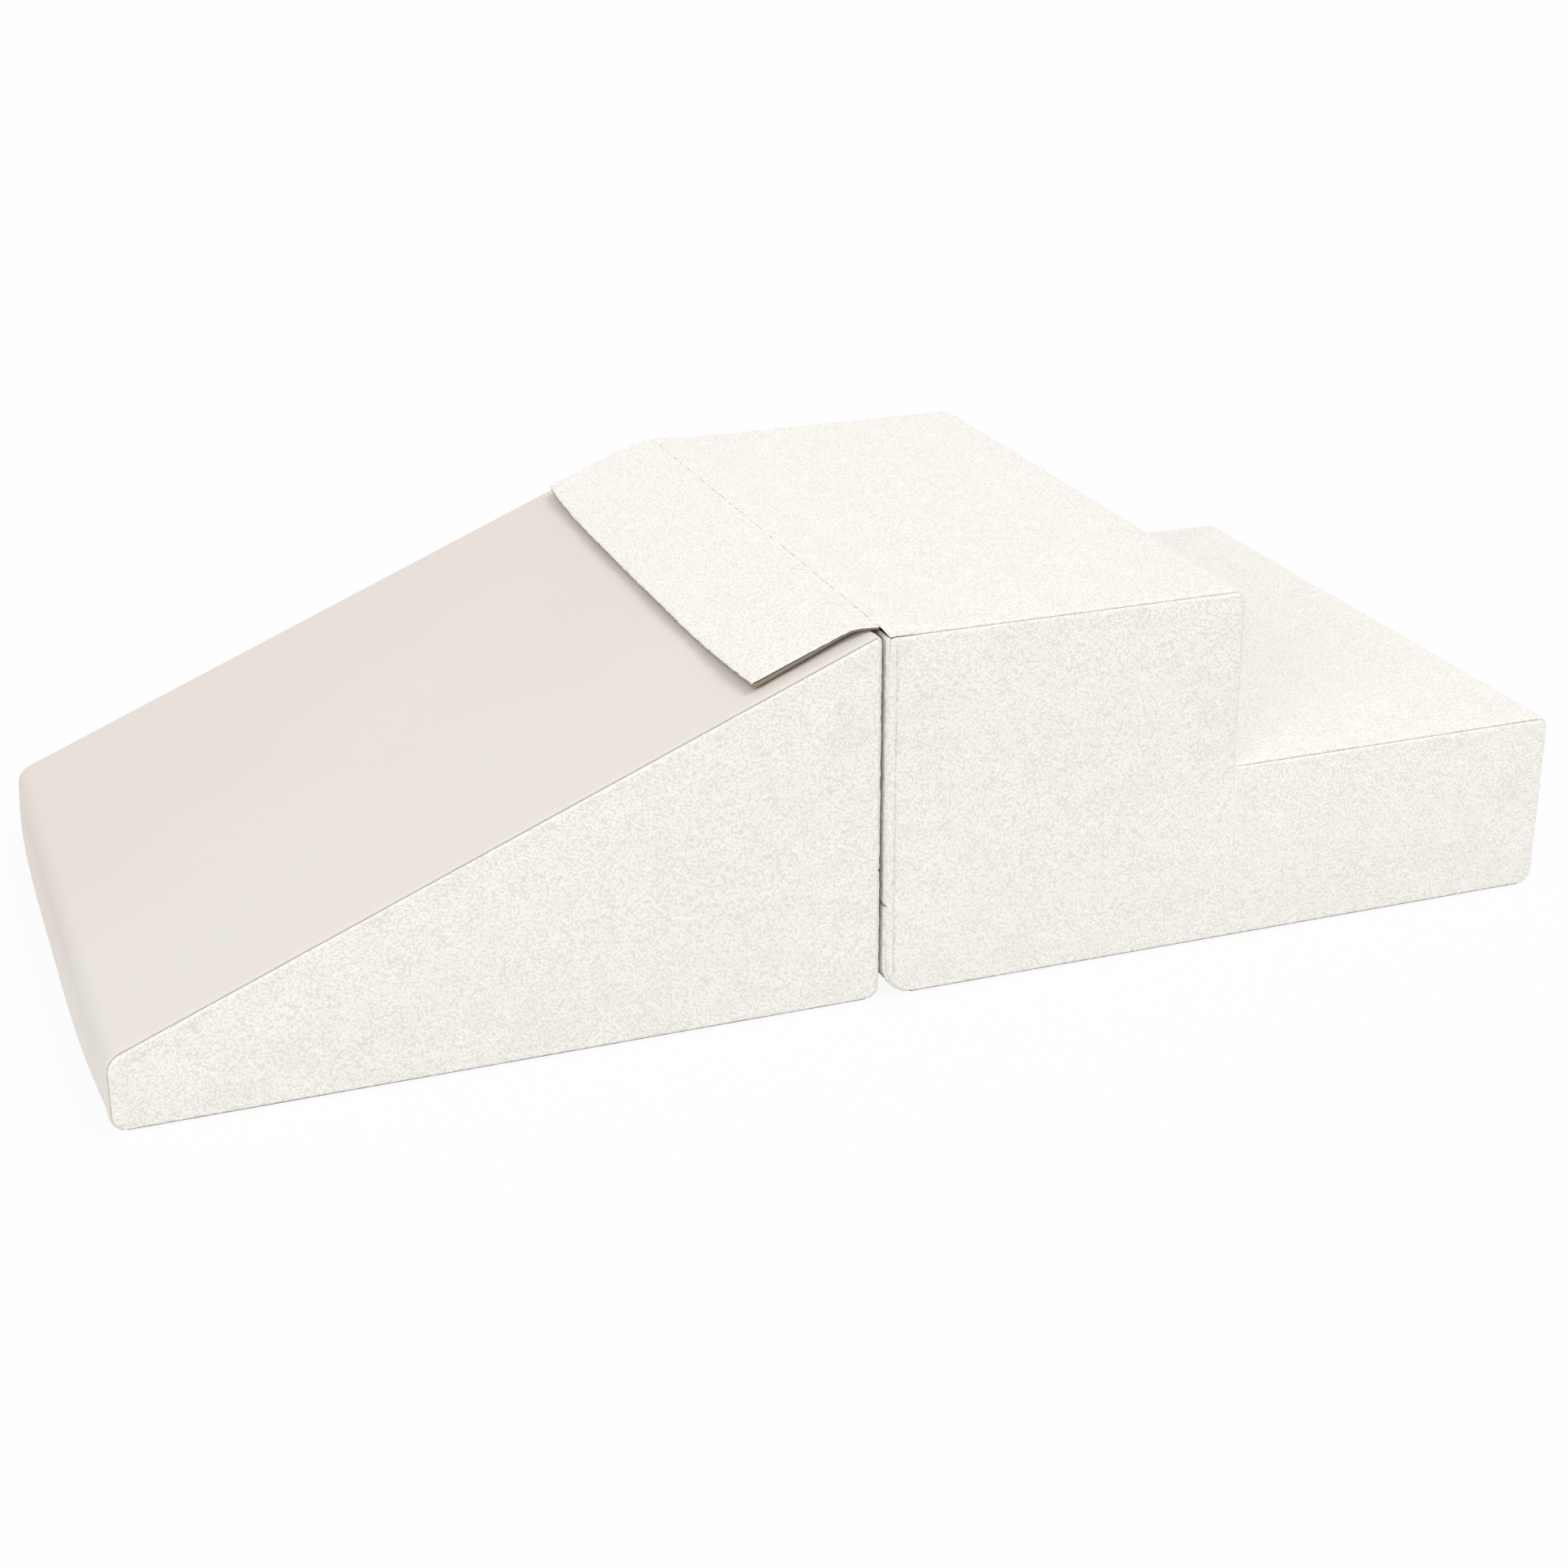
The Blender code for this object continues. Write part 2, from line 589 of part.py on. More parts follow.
class Flap:
    """The padded flap: level over the gap and the ridge, then falling a little less than the slope."""

    def __init__(self, slide_outline):
        centre, radius = slide_outline.arc_centre("ridge")
        self.underside = centre.y + radius + FLAP_RIDGE_CLEARANCE
        self.top = self.underside + FLAP_THICKNESS
        self.root = STEP_BACK + FLAP_ROOT_SETBACK
        self.knee = Vector((self.root - FLAP_LEVEL_RUN, self.top))
        under_knee = Vector((self.knee.x, self.underside))
        knee_lift = (under_knee - Vector((SLIDE_BACK, SLIDE_HEIGHT))).dot(SLOPE_NORMAL)
        easing = math.asin((FLAP_EDGE_LIFT - knee_lift) / FLAP_FALL_RUN)
        self.angle = math.atan2(-SLOPE_DIRECTION.y, -SLOPE_DIRECTION.x) - easing
        self.fall = Vector((-math.cos(self.angle), -math.sin(self.angle)))
        self.pivot = Vector((self.root + HINGE_SETBACK, 0, self.top + LAYER_GAP))

    def corner(self, depth):
        """The knee's corner at a depth below the top face."""
        half = self.angle / 2
        return self.knee - Vector((-math.sin(half), math.cos(half))) * depth / math.cos(half)

    def path(self, depth, root, fall_run, tab=None):
        """The corners at a depth, from the root, or a tab before it, over the knee and down the fall."""
        knee = self.corner(depth)
        radius = FLAP_KNEE_ROUND - depth
        end = self.knee - Vector((self.fall.y, -self.fall.x)) * depth + self.fall * fall_run
        corners = {"root": (root, self.top - depth, 0, 0)}
        if tab:
            corners = {"tab": (*tab, 0, 0), "root": (root, self.top - depth, FLAP_TAB_ROUND, 0)}
        return corners | {"knee": (*knee, radius, 0), "edge": (*end, 0, 0)}

    def settled(self, point, across):
        """A point of the straight flap, lowered where the middle of the free edge is held down."""
        along = max(0, (point - self.knee).dot(self.fall) / FLAP_FALL_RUN)
        middle = swell((across + 1) / 2)
        moved = point - SLOPE_NORMAL * (FLAP_EDGE_SAG * along**2 * middle)
        return moved + SLOPE_DIRECTION * (FLAP_EDGE_BOW * along * middle)

    def layer(self, name, corners, thickness, half_width, material, span=None):
        """One layer of the flap, with its upper face on the path."""
        path = Outline(corners, closed=False)
        distances = path.stops(*(span or (0, path.length)), FLAP_SPACING)
        grids = []
        for depth in (0, thickness):
            grid = []
            for distance in distances:
                point, normal, _ = path.at(distance)
                row = []
                for k in range(BANDS_ACROSS + 1):
                    y = half_width * (2 * k / BANDS_ACROSS - 1)
                    place = self.settled(point - normal * depth, y / HALF_FLAP)
                    row.append(Vector((place.x, y, place.y)))
                grid.append(row)
            grids.append(grid)
        return slab(name, *grids, material)


def make_flap(slide_outline, step_outline, materials):
    """Face panel turned down over the filler's end, filler, lining with the sewn tab, hook strip."""
    flap = Flap(slide_outline)
    filler_depth = FLAP_FACE_THICKNESS + LAYER_GAP
    lining_depth = filler_depth + FLAP_FILLER_THICKNESS + LAYER_GAP
    half = FLAP_THICKNESS / 2
    face = flap.path(0, flap.root, FLAP_FALL_RUN)
    edge = Vector(face["edge"][:2])
    inward = Vector((-flap.fall.y, flap.fall.x))
    turned = edge + inward * (lining_depth - LAYER_GAP)
    face |= {"edge": (*edge, half, 0), "turned": (*turned, 0, 0)}
    pieces = [flap.layer("flap_face_panel", face, FLAP_FACE_THICKNESS, HALF_FLAP, materials["boucle"])]
    filler = flap.path(filler_depth, flap.root, FLAP_FALL_RUN - half)
    pieces.append(flap.layer("flap_filler", filler, FLAP_FILLER_THICKNESS, HALF_FLAP, materials["foam"]))
    centre, radius = step_outline.arc_centre("flap_seam")
    diagonal = Vector((-1, 1)).normalized()
    half_lining = FLAP_LINING_THICKNESS / 2
    seam = centre + diagonal * (radius + LAYER_GAP + half_lining * diagonal.y)
    tab = (seam.x, seam.y + half_lining)
    lining = flap.path(lining_depth, flap.root - FLAP_TAB_RUN, FLAP_FALL_RUN, tab)
    pieces.append(flap.layer("flap_lining", lining, FLAP_LINING_THICKNESS, HALF_FLAP, materials["lining"]))
    hook = flap.path(FLAP_THICKNESS + LAYER_GAP, flap.root, FLAP_FALL_RUN)
    length = Outline(hook, closed=False).length
    end = length - GRIP_EDGE_INSET
    span = (end - GRIP_WIDTH, end)
    hook_tape = materials["hook_tape"]
    pieces.append(flap.layer("flap_hook_strip", hook, GRIP_THICKNESS, GRIP_LENGTH / 2, hook_tape, span))
    hang_on(new_carrier("flap_hinge", flap.pivot), pieces)


def main():
    for old in list(bpy.data.objects):
        bpy.data.objects.remove(old)
    materials = {
        "boucle": new_material("boucle", (0.89, 0.86, 0.80), 0.95),
        "faux_leather": new_material("faux_leather", (0.79, 0.71, 0.63), 0.5),
        "base_cloth": new_material("base_cloth", (0.30, 0.29, 0.27), 0.9),
        "foam": new_material("foam", (0.85, 0.80, 0.62), 0.9),
        "zip_tape": new_material("zip_tape", (0.78, 0.74, 0.67), 0.85),
        "zip_coil": new_material("zip_coil", (0.80, 0.77, 0.70), 0.4),
        "zip_slider": new_material("zip_slider", (0.70, 0.68, 0.62), 0.35, 0.8),
        "lining": new_material("lining", (0.62, 0.54, 0.46), 0.9),
        "loop_tape": new_material("loop_tape", (0.80, 0.75, 0.68), 0.95),
        "hook_tape": new_material("hook_tape", (0.72, 0.68, 0.62), 0.6),
    }
    slide_outline, slide_carrier, slide_zip_line = make_slide(materials)
    slide_zip_line.location -= slide_carrier.location
    slide_zip_line.parent = slide_carrier
    make_flap(slide_outline, make_steps(materials), materials)


main()
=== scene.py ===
"""Looks of the soft play foam climber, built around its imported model.

Metres, +Z up, in the model's own frame: +X runs from the slide's nose to the lower step, and the
near side is at -Y. The sections follow the object as it is put together.
"""

import math

import bmesh
import bpy
import numpy as np
from mathutils import Matrix, Vector
from mathutils.bvhtree import BVHTree
from mathutils.geometry import delaunay_2d_cdt
from mathutils.kdtree import KDTree


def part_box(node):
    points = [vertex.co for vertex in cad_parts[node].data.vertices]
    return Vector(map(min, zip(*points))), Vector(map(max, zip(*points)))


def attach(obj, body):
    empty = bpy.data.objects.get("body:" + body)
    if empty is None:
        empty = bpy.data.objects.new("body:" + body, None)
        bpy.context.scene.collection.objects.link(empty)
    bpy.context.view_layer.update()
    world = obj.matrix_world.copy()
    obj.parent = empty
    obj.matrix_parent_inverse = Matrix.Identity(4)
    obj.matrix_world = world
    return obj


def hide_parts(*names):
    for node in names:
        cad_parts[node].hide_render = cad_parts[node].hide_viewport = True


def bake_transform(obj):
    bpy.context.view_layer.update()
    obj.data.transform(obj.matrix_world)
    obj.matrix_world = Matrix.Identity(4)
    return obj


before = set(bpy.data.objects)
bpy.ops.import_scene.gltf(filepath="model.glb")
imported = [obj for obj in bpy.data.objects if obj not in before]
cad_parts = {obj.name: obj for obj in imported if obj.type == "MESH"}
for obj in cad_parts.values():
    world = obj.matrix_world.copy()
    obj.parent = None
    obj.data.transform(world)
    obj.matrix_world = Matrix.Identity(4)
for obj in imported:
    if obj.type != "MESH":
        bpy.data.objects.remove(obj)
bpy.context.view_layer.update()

# Camera
# It stands in front of the slide on the near side and looks down along both modules, as in the
# photograph.
CAMERA_PLACE = Vector((-0.7436, -2.0656, 0.9992))
CAMERA_AZIMUTH = math.radians(20.419)
CAMERA_DIP = math.radians(22.915)
CAMERA_ROLL = math.radians(-0.196)
CAMERA_LENS = 62.353

camera = bpy.data.objects.new("camera", bpy.data.cameras.new("camera"))
camera.data.lens = CAMERA_LENS
camera.data.clip_end = 100
heading = Matrix.Rotation(-CAMERA_AZIMUTH, 4, "Z") @ Matrix.Rotation(math.pi / 2 - CAMERA_DIP, 4, "X")
camera.matrix_world = Matrix.Translation(CAMERA_PLACE) @ heading @ Matrix.Rotation(CAMERA_ROLL, 4, "Z")
bpy.context.scene.collection.objects.link(camera)
bpy.context.scene.camera = camera

# Foam blocks
# Cut blocks of open-cell foam: one wedge in the slide and two glued blocks in the steps. They fill
# the covers and don't show while these are zipped up.
FOAM_EDGE = 0.0012
FOAM_FLAT_ANGLE = math.radians(4)
SAME_POINT = 0.00002
FOAM_CELL = 0.0022
FOAM_RELIEF = FOAM_CELL / 3
FOAM_MOTTLE = 0.05
FOAM_SHADING = (1, 0.4)
FOAM_COLOR = (0.86, 0.80, 0.60)
# The second foam colour is painted shade, for the hollows between the raised cells.
FOAM_PAINTED_SHADE = (0.66, 0.58, 0.38)


class Wire:
    """A value on a node's socket. Arithmetic on it adds Math nodes to its tree."""

    def __init__(self, web, socket):
        self.web = web
        self.socket = socket

    def beside(self, output):
        """Another output of the same node."""
        return Wire(self.web, self.socket.node.outputs[output])

    def math(self, operation, *values):
        return self.web.node("ShaderNodeMath", *values, operation=operation)

    def sine(self):
        return self.math("SINE", self)

    def __add__(self, other):
        return self.math("ADD", self, other)

    def __radd__(self, other):
        return self.math("ADD", other, self)

    def __sub__(self, other):
        return self.math("SUBTRACT", self, other)

    def __rsub__(self, other):
        return self.math("SUBTRACT", other, self)

    def __mul__(self, other):
        return self.math("MULTIPLY", self, other)

    def __rmul__(self, other):
        return self.math("MULTIPLY", other, self)

    def __truediv__(self, other):
        return self.math("DIVIDE", self, other)


class Web:
    """A node tree under construction."""

    def __init__(self, tree):
        self.tree = tree

    def give(self, socket, value):
        """Sets an input, or links a wire to it."""
        if isinstance(value, Wire):
            self.tree.links.new(value.socket, socket)
        else:
            socket.default_value = value

    def node(self, kind, *values, output=0, **named):
        """A node: values fill its first inputs, names in lower case are settings, others inputs."""
        made = self.tree.nodes.new(kind)
        for key, value in named.items():
            if key.islower():
                setattr(made, key, value)
        inputs = {key.replace("_", " "): value for key, value in named.items() if not key.islower()}
        for key, value in (dict(enumerate(values)) | inputs).items():
            self.give(made.inputs[key], value)
        return Wire(self, made.outputs[output])

    def vector(self, operation, *values, output=0, **named):
        return self.node("ShaderNodeVectorMath", *values, output=output, operation=operation, **named)

    def point(self, **axes):
        """A vector from what is given for its axes."""
        return self.node("ShaderNodeCombineXYZ", **axes)

    def between(self, value, low, high):
        """0 below low and 1 above high, with a smooth step from one to the other."""
        return self.node("ShaderNodeMapRange", value, low, high, interpolation_type="SMOOTHSTEP")

    def spread(self, value, low, high):
        """Low where a value is 0 and high where it is 1."""
        return value * (high - low) + low

    def noise(self, place, size, detail=2, output=0):
        return self.node("ShaderNodeTexNoise", Vector=place, Scale=1 / size, Detail=detail, output=output)

    def cells(self, place, size):
        """Distance from the middle of irregular cells, in cell sizes."""
        return self.node("ShaderNodeTexVoronoi", Vector=place, Scale=1 / size)


class Finish(Web):
    """A material under construction, with constants on its shader's own sockets."""

    def __init__(self, name, **constants):
        self.material = bpy.data.materials.new(name)
        self.material.use_nodes = True
        super().__init__(self.material.node_tree)
        self.shader = self.tree.nodes["Principled BSDF"]
        self.feed(**constants)

    def feed(self, **values):
        """Constants or wires for the shader's sockets."""
        for key, value in values.items():
            self.give(self.shader.inputs[key.replace("_", " ")], value)

    def place(self):
        """Where a point is on its piece, which doesn't change when the piece moves."""
        return self.node("ShaderNodeTexCoord", output="Object")

    def cloth_place(self):
        """Where a point of a cover was when it was cut, which doesn't change when the cover bends."""
        return self.node("ShaderNodeAttribute", attribute_name="cut_place", output="Vector")

    def blend(self, share, first, second):
        """A colour between two, given as colours or wires."""
        ends = {"A": first, "B": second}
        ends = {key: (*end, 1) if isinstance(end, tuple) else end for key, end in ends.items()}
        return self.node("ShaderNodeMix", Factor=share, data_type="RGBA", output="Result", **ends)

    def relief(self, height, distance):
        """Bumps of a height from 0 to 1 that stand this far proud."""
        self.feed(Normal=self.node("ShaderNodeBump", Height=height, Distance=distance))


def weighed(parts, weights):
    """The sum of wires or numbers, each times its weight."""
    return sum(part * weight for part, weight in zip(parts, weights))


def foam_finish():
    """Open-cell foam: round pores over a faint mottle, with painted shade where their relief dips."""
    finish = Finish("foam", Roughness=0.95)
    place = finish.place()
    cell = finish.cells(place, FOAM_CELL)
    mottle = finish.noise(place, FOAM_MOTTLE, detail=3)
    # Painted shade: the hollows between the cells are coloured darker; the mottle adds a real random tone.
    shade = finish.between(weighed((cell, mottle), FOAM_SHADING), low=0.3, high=0.9)
    finish.feed(Base_Color=finish.blend(shade, FOAM_COLOR, FOAM_PAINTED_SHADE))
    finish.relief(1 - cell, FOAM_RELIEF)
    return finish.material


def sewn_in(piece, body, slot, *nodes):
    """Fixes a piece to a body and hides the nodes that it stands for. Its material slot is not used."""
    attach(piece, body)
    if nodes:
        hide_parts(*nodes)


def merged_copy(node):
    """A copy of a CAD node's mesh with its doubles merged."""
    copied = bmesh.new()
    copied.from_mesh(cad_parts[node].data)
    bmesh.ops.remove_doubles(copied, verts=copied.verts, dist=SAME_POINT)
    return copied


def rounded_mesh(name, made, offset):
    """A mesh from a worked shape, with all its edges rounded."""
    bmesh.ops.bevel(made, geom=made.edges, offset=offset, segments=2, profile=0.5, affect="EDGES")
    mesh = bpy.data.meshes.new(name)
    made.to_mesh(mesh)
    made.free()
    return mesh


def new_piece(name, mesh, material):
    """A mesh as an object in the scene, shaded smooth."""
    mesh.materials.clear()
    mesh.materials.append(material)
    mesh.shade_smooth()
    piece = bpy.data.objects.new(name, mesh)
    bpy.context.scene.collection.objects.link(piece)
    return piece


foam = foam_finish()
for module, node in (
    ("slide", "slide_foam_core"),
    ("step", "step_foam_base_block"),
    ("step", "step_foam_top_block"),
):
    block = merged_copy(node)
    bmesh.ops.dissolve_limit(block, angle_limit=FOAM_FLAT_ANGLE, verts=block.verts, edges=block.edges)
    piece = new_piece(node.replace("foam", "cut_foam"), rounded_mesh(node, block, FOAM_EDGE), foam)
    sewn_in(piece, f"{module}_module", "foam", node)

# Slide slope
# One panel of soft faux leather runs from the ridge down the slope and round the nose. It is sewn
# to the sides inside out, so its edges roll into the seams, and wadding under it fills the nose.
MODULE_WIDTH = 0.580
SIDE_ROUND = 0.005
RIDGE_HEIGHT = 0.3091
TOE_HEIGHT = 0.061
RIDGE_ROUND = 0.0056
TOE_TOP_ROUND = 0.018
TOE_FOOT_ROUND = 0.014
SLIDE_FOOT_ROUND = 0.012
NOSE_CROWN = 0.008
FOAM_DEPTH = 0.0033
SLIDE_BACK_FILL = 0.0015
PANEL_THICKNESS = 0.003
SLIDE_ZIP_HEIGHT = 0.112
ZIP_SLOT = 0.026
FOOT_SEAM_SHARE = 0.85
SEAM_GAP = 0.0005
SEAM_ROLL = 0.0024
SEAM_DEPTH = 0.0018
ROLL_SHARES = np.array((0, 0.1, 0.27, 0.52, 0.85, 1.4))
ROLL_STEEPNESS = 0.98
ALL_ROLLED = (True, True, True)
NONE_ROLLED = (False, False, False)
SLOPE_CROWN = 0.0015
SLOPE_SPACING = 0.005
LINING_SPACING = 0.03
CREASE_REACH = 0.0011
CREASE_SHARES = np.array((-1, -0.5, 0, 0.5, 1))
CREASE_CLEARANCE = 1.5
RIM_CLEARANCE = 0.6
LEAST_STEP = 1e-7
FILLING_SEED = 5
BLOWN_SEED = 3
JITTER_SEED = 7
FULLER_FADE = 0.006
BLOWN_CELL = 0.010
BLOWN_LEAST_CELLS = 8
BLOWN_ROUGHNESS = 0.0002
BLOWN_PUSH = 0.2
BLOWN_FRAMES = 20
SLACK_SHARE = 0.02
SLACK_WIDTH = 0.05
# The next two colours mix a random warm and cool tone with painted light: the cool one lights the near
# side of the slope, the warm one shades the far side.
LEATHER_COOL_AND_LIT = (0.748, 0.698, 0.656)
LEATHER_WARM_AND_SHADED = (0.724, 0.655, 0.603)
# The valley colour is painted shade, for the hollows of the grain.
LEATHER_VALLEY_SHADE = (0.64, 0.57, 0.50)
LEATHER_PATCH = 0.45
LEATHER_GLOSS_PATCH = 0.03
LEATHER_WRINKLE = 0.0045
LEATHER_GRAIN = 0.0011
LEATHER_RELIEF = 0.00012
LEATHER_BUMPS = (0.7, 0.5)
VALLEY_SHADE_SHARE = 0.25
HALF_FLAT = MODULE_WIDTH / 2 - SIDE_ROUND


def swell(share):
    """How full a padded run is at a share of its length: 0 at both ends and 1 in the middle."""
    return 1 - (2 * share - 1) ** 4


def swell_at(offset):
    """A smooth bump, 1 at 0 and nothing from 1 on."""
    return np.clip(1 - offset**2, 0, None) ** 2


class Profile:
    """A module's side view: round corners and straight runs, as distances along its outline.

    Each named corner is (x, z, radius, crown of the run after it), with the material on the left.
    Its side edges are round too, and turned is how far panels wrap round them, from 0 to 1.
    """

    def __init__(self, corners, half_flat=HALF_FLAT, side_round=SIDE_ROUND, turned=0.5):
        self.half_flat = half_flat
        self.side_round = side_round
        self.half_across = half_flat + side_round * math.pi / 2 * turned - SEAM_GAP / 2
        names = list(corners)
        values = np.array(list(corners.values()))
        ends, radii, crowns = values[:, :2], values[:, 2], values[:, 3]
        runs = np.roll(ends, -1, axis=0) - ends
        lengths = np.linalg.norm(runs, axis=1)
        angles = np.arctan2(runs[:, 1], runs[:, 0])
        turns = np.mod(angles - np.roll(angles, 1) + math.pi, 2 * math.pi) - math.pi
        trims = radii * np.tan(np.abs(turns) / 2)
        pieces = []
        self.corners = {}
        self.length = 0
        for i, name in enumerate(names):
            before = angles[i] - turns[i]
            first = ends[i] - trims[i] * np.array((math.cos(before), math.sin(before)))
            arc = radii[i] * abs(turns[i])
            self.corners[name] = (self.length, arc)
            if arc:
                pieces.append((self.length, arc, *first, before, turns[i] / arc, 0))
            run = lengths[i] - trims[i] - trims[(i + 1) % len(names)]
            first = ends[i] + trims[i] * runs[i] / lengths[i]
            pieces.append((self.length + arc, run, *first, angles[i], 0, crowns[i]))
            self.length += arc + run
        self.pieces = np.array(pieces)

    def mark(self, name, along):
        """Names a place along the outline."""
        self.corners[name] = (along, 0)

    def seam(self, corner, share=0.5):
        start, arc = self.corners[corner]
        return start + arc * share

    def stops(self, spacing):
        """Distances all the way round, evenly spaced in each run and arc."""
        parts = []
        for start, length in self.pieces[:, :2]:
            count = max(1, round(length / spacing))
            parts.append(start + np.arange(count) * length / count)
        return np.concatenate(parts)

    def at(self, along):
        """Points, outward normals and crowns at distances along the outline."""
        along = np.mod(along, self.length)
        chosen = np.searchsorted(self.pieces[:, 0], along, side="right") - 1
        start, length, x, z, angle, bend, crown = np.moveaxis(self.pieces[chosen], -1, 0)
        gone = along - start
        half_turn = bend * gone / 2
        chord = gone * np.sinc(half_turn / math.pi)
        point = (x + chord * np.cos(angle + half_turn), z + chord * np.sin(angle + half_turn))
        last = angle + 2 * half_turn
        return point, (np.sin(last), -np.cos(last)), crown * swell(gone / length)


def skin(profile, along, across, depth=0.0):
    """Points and outward normals of a module's skin. across runs on over the rounded side edges."""
    (x, z), (out_x, out_z), crown = profile.at(along)
    reach = np.abs(across)
    side = np.sign(across)
    half_flat, side_round = profile.half_flat, profile.side_round
    turn = np.clip((reach - half_flat) / side_round, 0, None)
    fullness = swell(np.clip(across / half_flat / 2 + 0.5, 0, 1))
    inset = side_round - (side_round - depth) * np.cos(turn) - crown * fullness * (depth == 0)
    y = side * (np.minimum(reach, half_flat) + (side_round - depth) * np.sin(turn))
    point = np.stack([x - out_x * inset, y, z - out_z * inset], -1)
    normal = np.stack([out_x * np.cos(turn), side * np.sin(turn), out_z * np.cos(turn)], -1)
    return point, normal


class Cut:
    """The flat outline of a panel, as a loop of close points, and what lies inside it."""

    def __init__(self, loop):
        self.loop = np.asarray(loop)
        along = np.roll(self.loop, -1, axis=0) - np.roll(self.loop, 1, axis=0)
        self.out = np.stack([along[:, 1], -along[:, 0]], -1)
        self.out /= np.linalg.norm(self.out, axis=1)[:, None]
        self.tree = KDTree(len(self.loop))
        for i, (x, y) in enumerate(self.loop):
            self.tree.insert((x, y, 0), i)
        self.tree.balance()

    def depth(self, points):
        """How far points lie inside the loop, less than zero outside it."""
        found = [self.tree.find((x, y, 0))[1] for x, y in points.reshape(-1, 2)]
        away = points.reshape(-1, 2) - self.loop[found]
        near = np.linalg.norm(away, axis=1)
        inward = -(away * self.out[found]).sum(1)
        return (np.sign(inward) * near).reshape(points.shape[:-1])

    def filled(self, spacing, jitter=0.0, crease=None):
        """Points inside the loop at this spacing, and the triangles that fill it.

        Points lie close together along an upright crease at its first coordinate.
        """
        low, high = self.loop.min(0), self.loop.max(0)
        counts = np.maximum(1, np.round((high - low) / spacing).astype(int))
        rows = [low[k] + (np.arange(counts[k]) + 0.5) * (high - low)[k] / counts[k] for k in (0, 1)]
        points = np.stack(np.meshgrid(*rows, indexing="ij"), -1)
        points[:, 1::2, 0] += spacing / 2
        points = points.reshape(-1, 2)
        draw = np.random.default_rng(FILLING_SEED)
        points += draw.uniform(-jitter, jitter, points.shape) * spacing
        if crease is not None:
            points = points[np.abs(points[:, 0] - crease) > CREASE_REACH * CREASE_CLEARANCE]
            line = crease + CREASE_REACH * CREASE_SHARES
            points = np.concatenate([points, np.stack(np.meshgrid(line, rows[1]), -1).reshape(-1, 2)])
        points = points[self.depth(points) > spacing * RIM_CLEARANCE]
        both = [Vector(p) for p in np.concatenate([self.loop, points])]
        result = delaunay_2d_cdt(both, [], [list(range(len(self.loop)))], 1, LEAST_STEP)
        return points, np.array(result[2])


def blown_relief(cut):
    """The relief of a cover panel that is pinned along its seams while the foam pushes it out.

    A flat sheet, a little too long near its seams, is simulated as cloth. The answer is a grid of
    heights up to 1, with the low corner and the cell that place it.
    """
    low, high = cut.loop.min(0), cut.loop.max(0)
    cell = min(BLOWN_CELL, (high - low).min() / BLOWN_LEAST_CELLS)
    counts = np.round((high - low) / cell).astype(int)
    rows = [np.linspace(low[k], high[k], counts[k] + 1) for k in (0, 1)]
    flat = np.stack(np.meshgrid(*rows, indexing="ij"), -1)
    depth = cut.depth(flat)
    index = np.arange(depth.size).reshape(depth.shape)
    quads = np.stack([index[:-1, :-1], index[1:, :-1], index[1:, 1:], index[:-1, 1:]], -1)
    draw = np.random.default_rng(BLOWN_SEED)
    start = draw.uniform(-1, 1, depth.shape) * BLOWN_ROUGHNESS * (depth > cell / 2)
    mesh = bpy.data.meshes.new("blown")
    points = np.concatenate([flat, start[..., None]], -1).reshape(-1, 3)
    mesh.from_pydata(points.tolist(), [], quads.reshape(-1, 4).tolist())
    sheet = bpy.data.objects.new("blown", mesh)
    scene = bpy.context.scene
    scene.collection.objects.link(sheet)
    sheet.vertex_groups.new(name="sewn").add(index[depth < cell / 2].tolist(), 1, "REPLACE")
    tight = sheet.vertex_groups.new(name="tight")
    for i, share in enumerate(np.clip(depth.ravel() / SLACK_WIDTH, 0, 1)):
        tight.add([i], float(share), "REPLACE")
    modifier = sheet.modifiers.new("cloth", "CLOTH")
    cloth = modifier.settings
    cloth.quality = 6
    cloth.air_damping = 5
    cloth.vertex_group_mass = "sewn"
    cloth.vertex_group_shrink = "tight"
    cloth.shrink_min = -SLACK_SHARE
    cloth.shrink_max = 0
    modifier.collision_settings.use_collision = False
    gravity = scene.gravity.copy()
    scene.gravity = (0, 0, BLOWN_PUSH)
    scene.frame_start, scene.frame_end = 1, BLOWN_FRAMES
    modifier.point_cache.frame_start, modifier.point_cache.frame_end = 1, BLOWN_FRAMES
    for moment in range(1, BLOWN_FRAMES + 1):
        scene.frame_set(moment)
    blown = sheet.evaluated_get(bpy.context.evaluated_depsgraph_get())
    settled = np.zeros(depth.size * 3, np.float32)
    blown.data.vertices.foreach_get("co", settled)
    scene.gravity = gravity
    scene.frame_set(1)
    bpy.data.objects.remove(sheet)
    height = settled.reshape(*depth.shape, 3)[..., 2]
    return height / height.max(), low, (high - low) / counts


def relief_at(relief, points):
    """The height of a relief at points, as a smooth cubic spline over its grid's corners."""
    if relief is None:
        return np.zeros(points.shape[:-1])
    height, low, cell = relief
    place = (points - low) / cell
    whole = np.floor(place).astype(int)
    part = place - whole
    left = 1 - part
    parts = [left**3, 4 - 6 * part**2 + 3 * part**3, 4 - 6 * left**2 + 3 * left**3, part**3]
    weights = np.stack(parts, -1) / 6
    found = np.zeros(points.shape[:-1])
    for i in range(4):
        for j in range(4):
            row = np.clip(whole[..., 0] + i - 1, 0, height.shape[0] - 1)
            column = np.clip(whole[..., 1] + j - 1, 0, height.shape[1] - 1)
            found += height[row, column] * weights[..., 0, i] * weights[..., 1, j]
    return found


def rolled_in(depth):
    """How deep the cloth lies where it rolls into a seam at this distance."""
    share = np.clip(1 - depth / SEAM_ROLL, 0, 1)
    return SEAM_DEPTH * (1 - np.sqrt(1 - share**2 * ROLL_STEEPNESS))


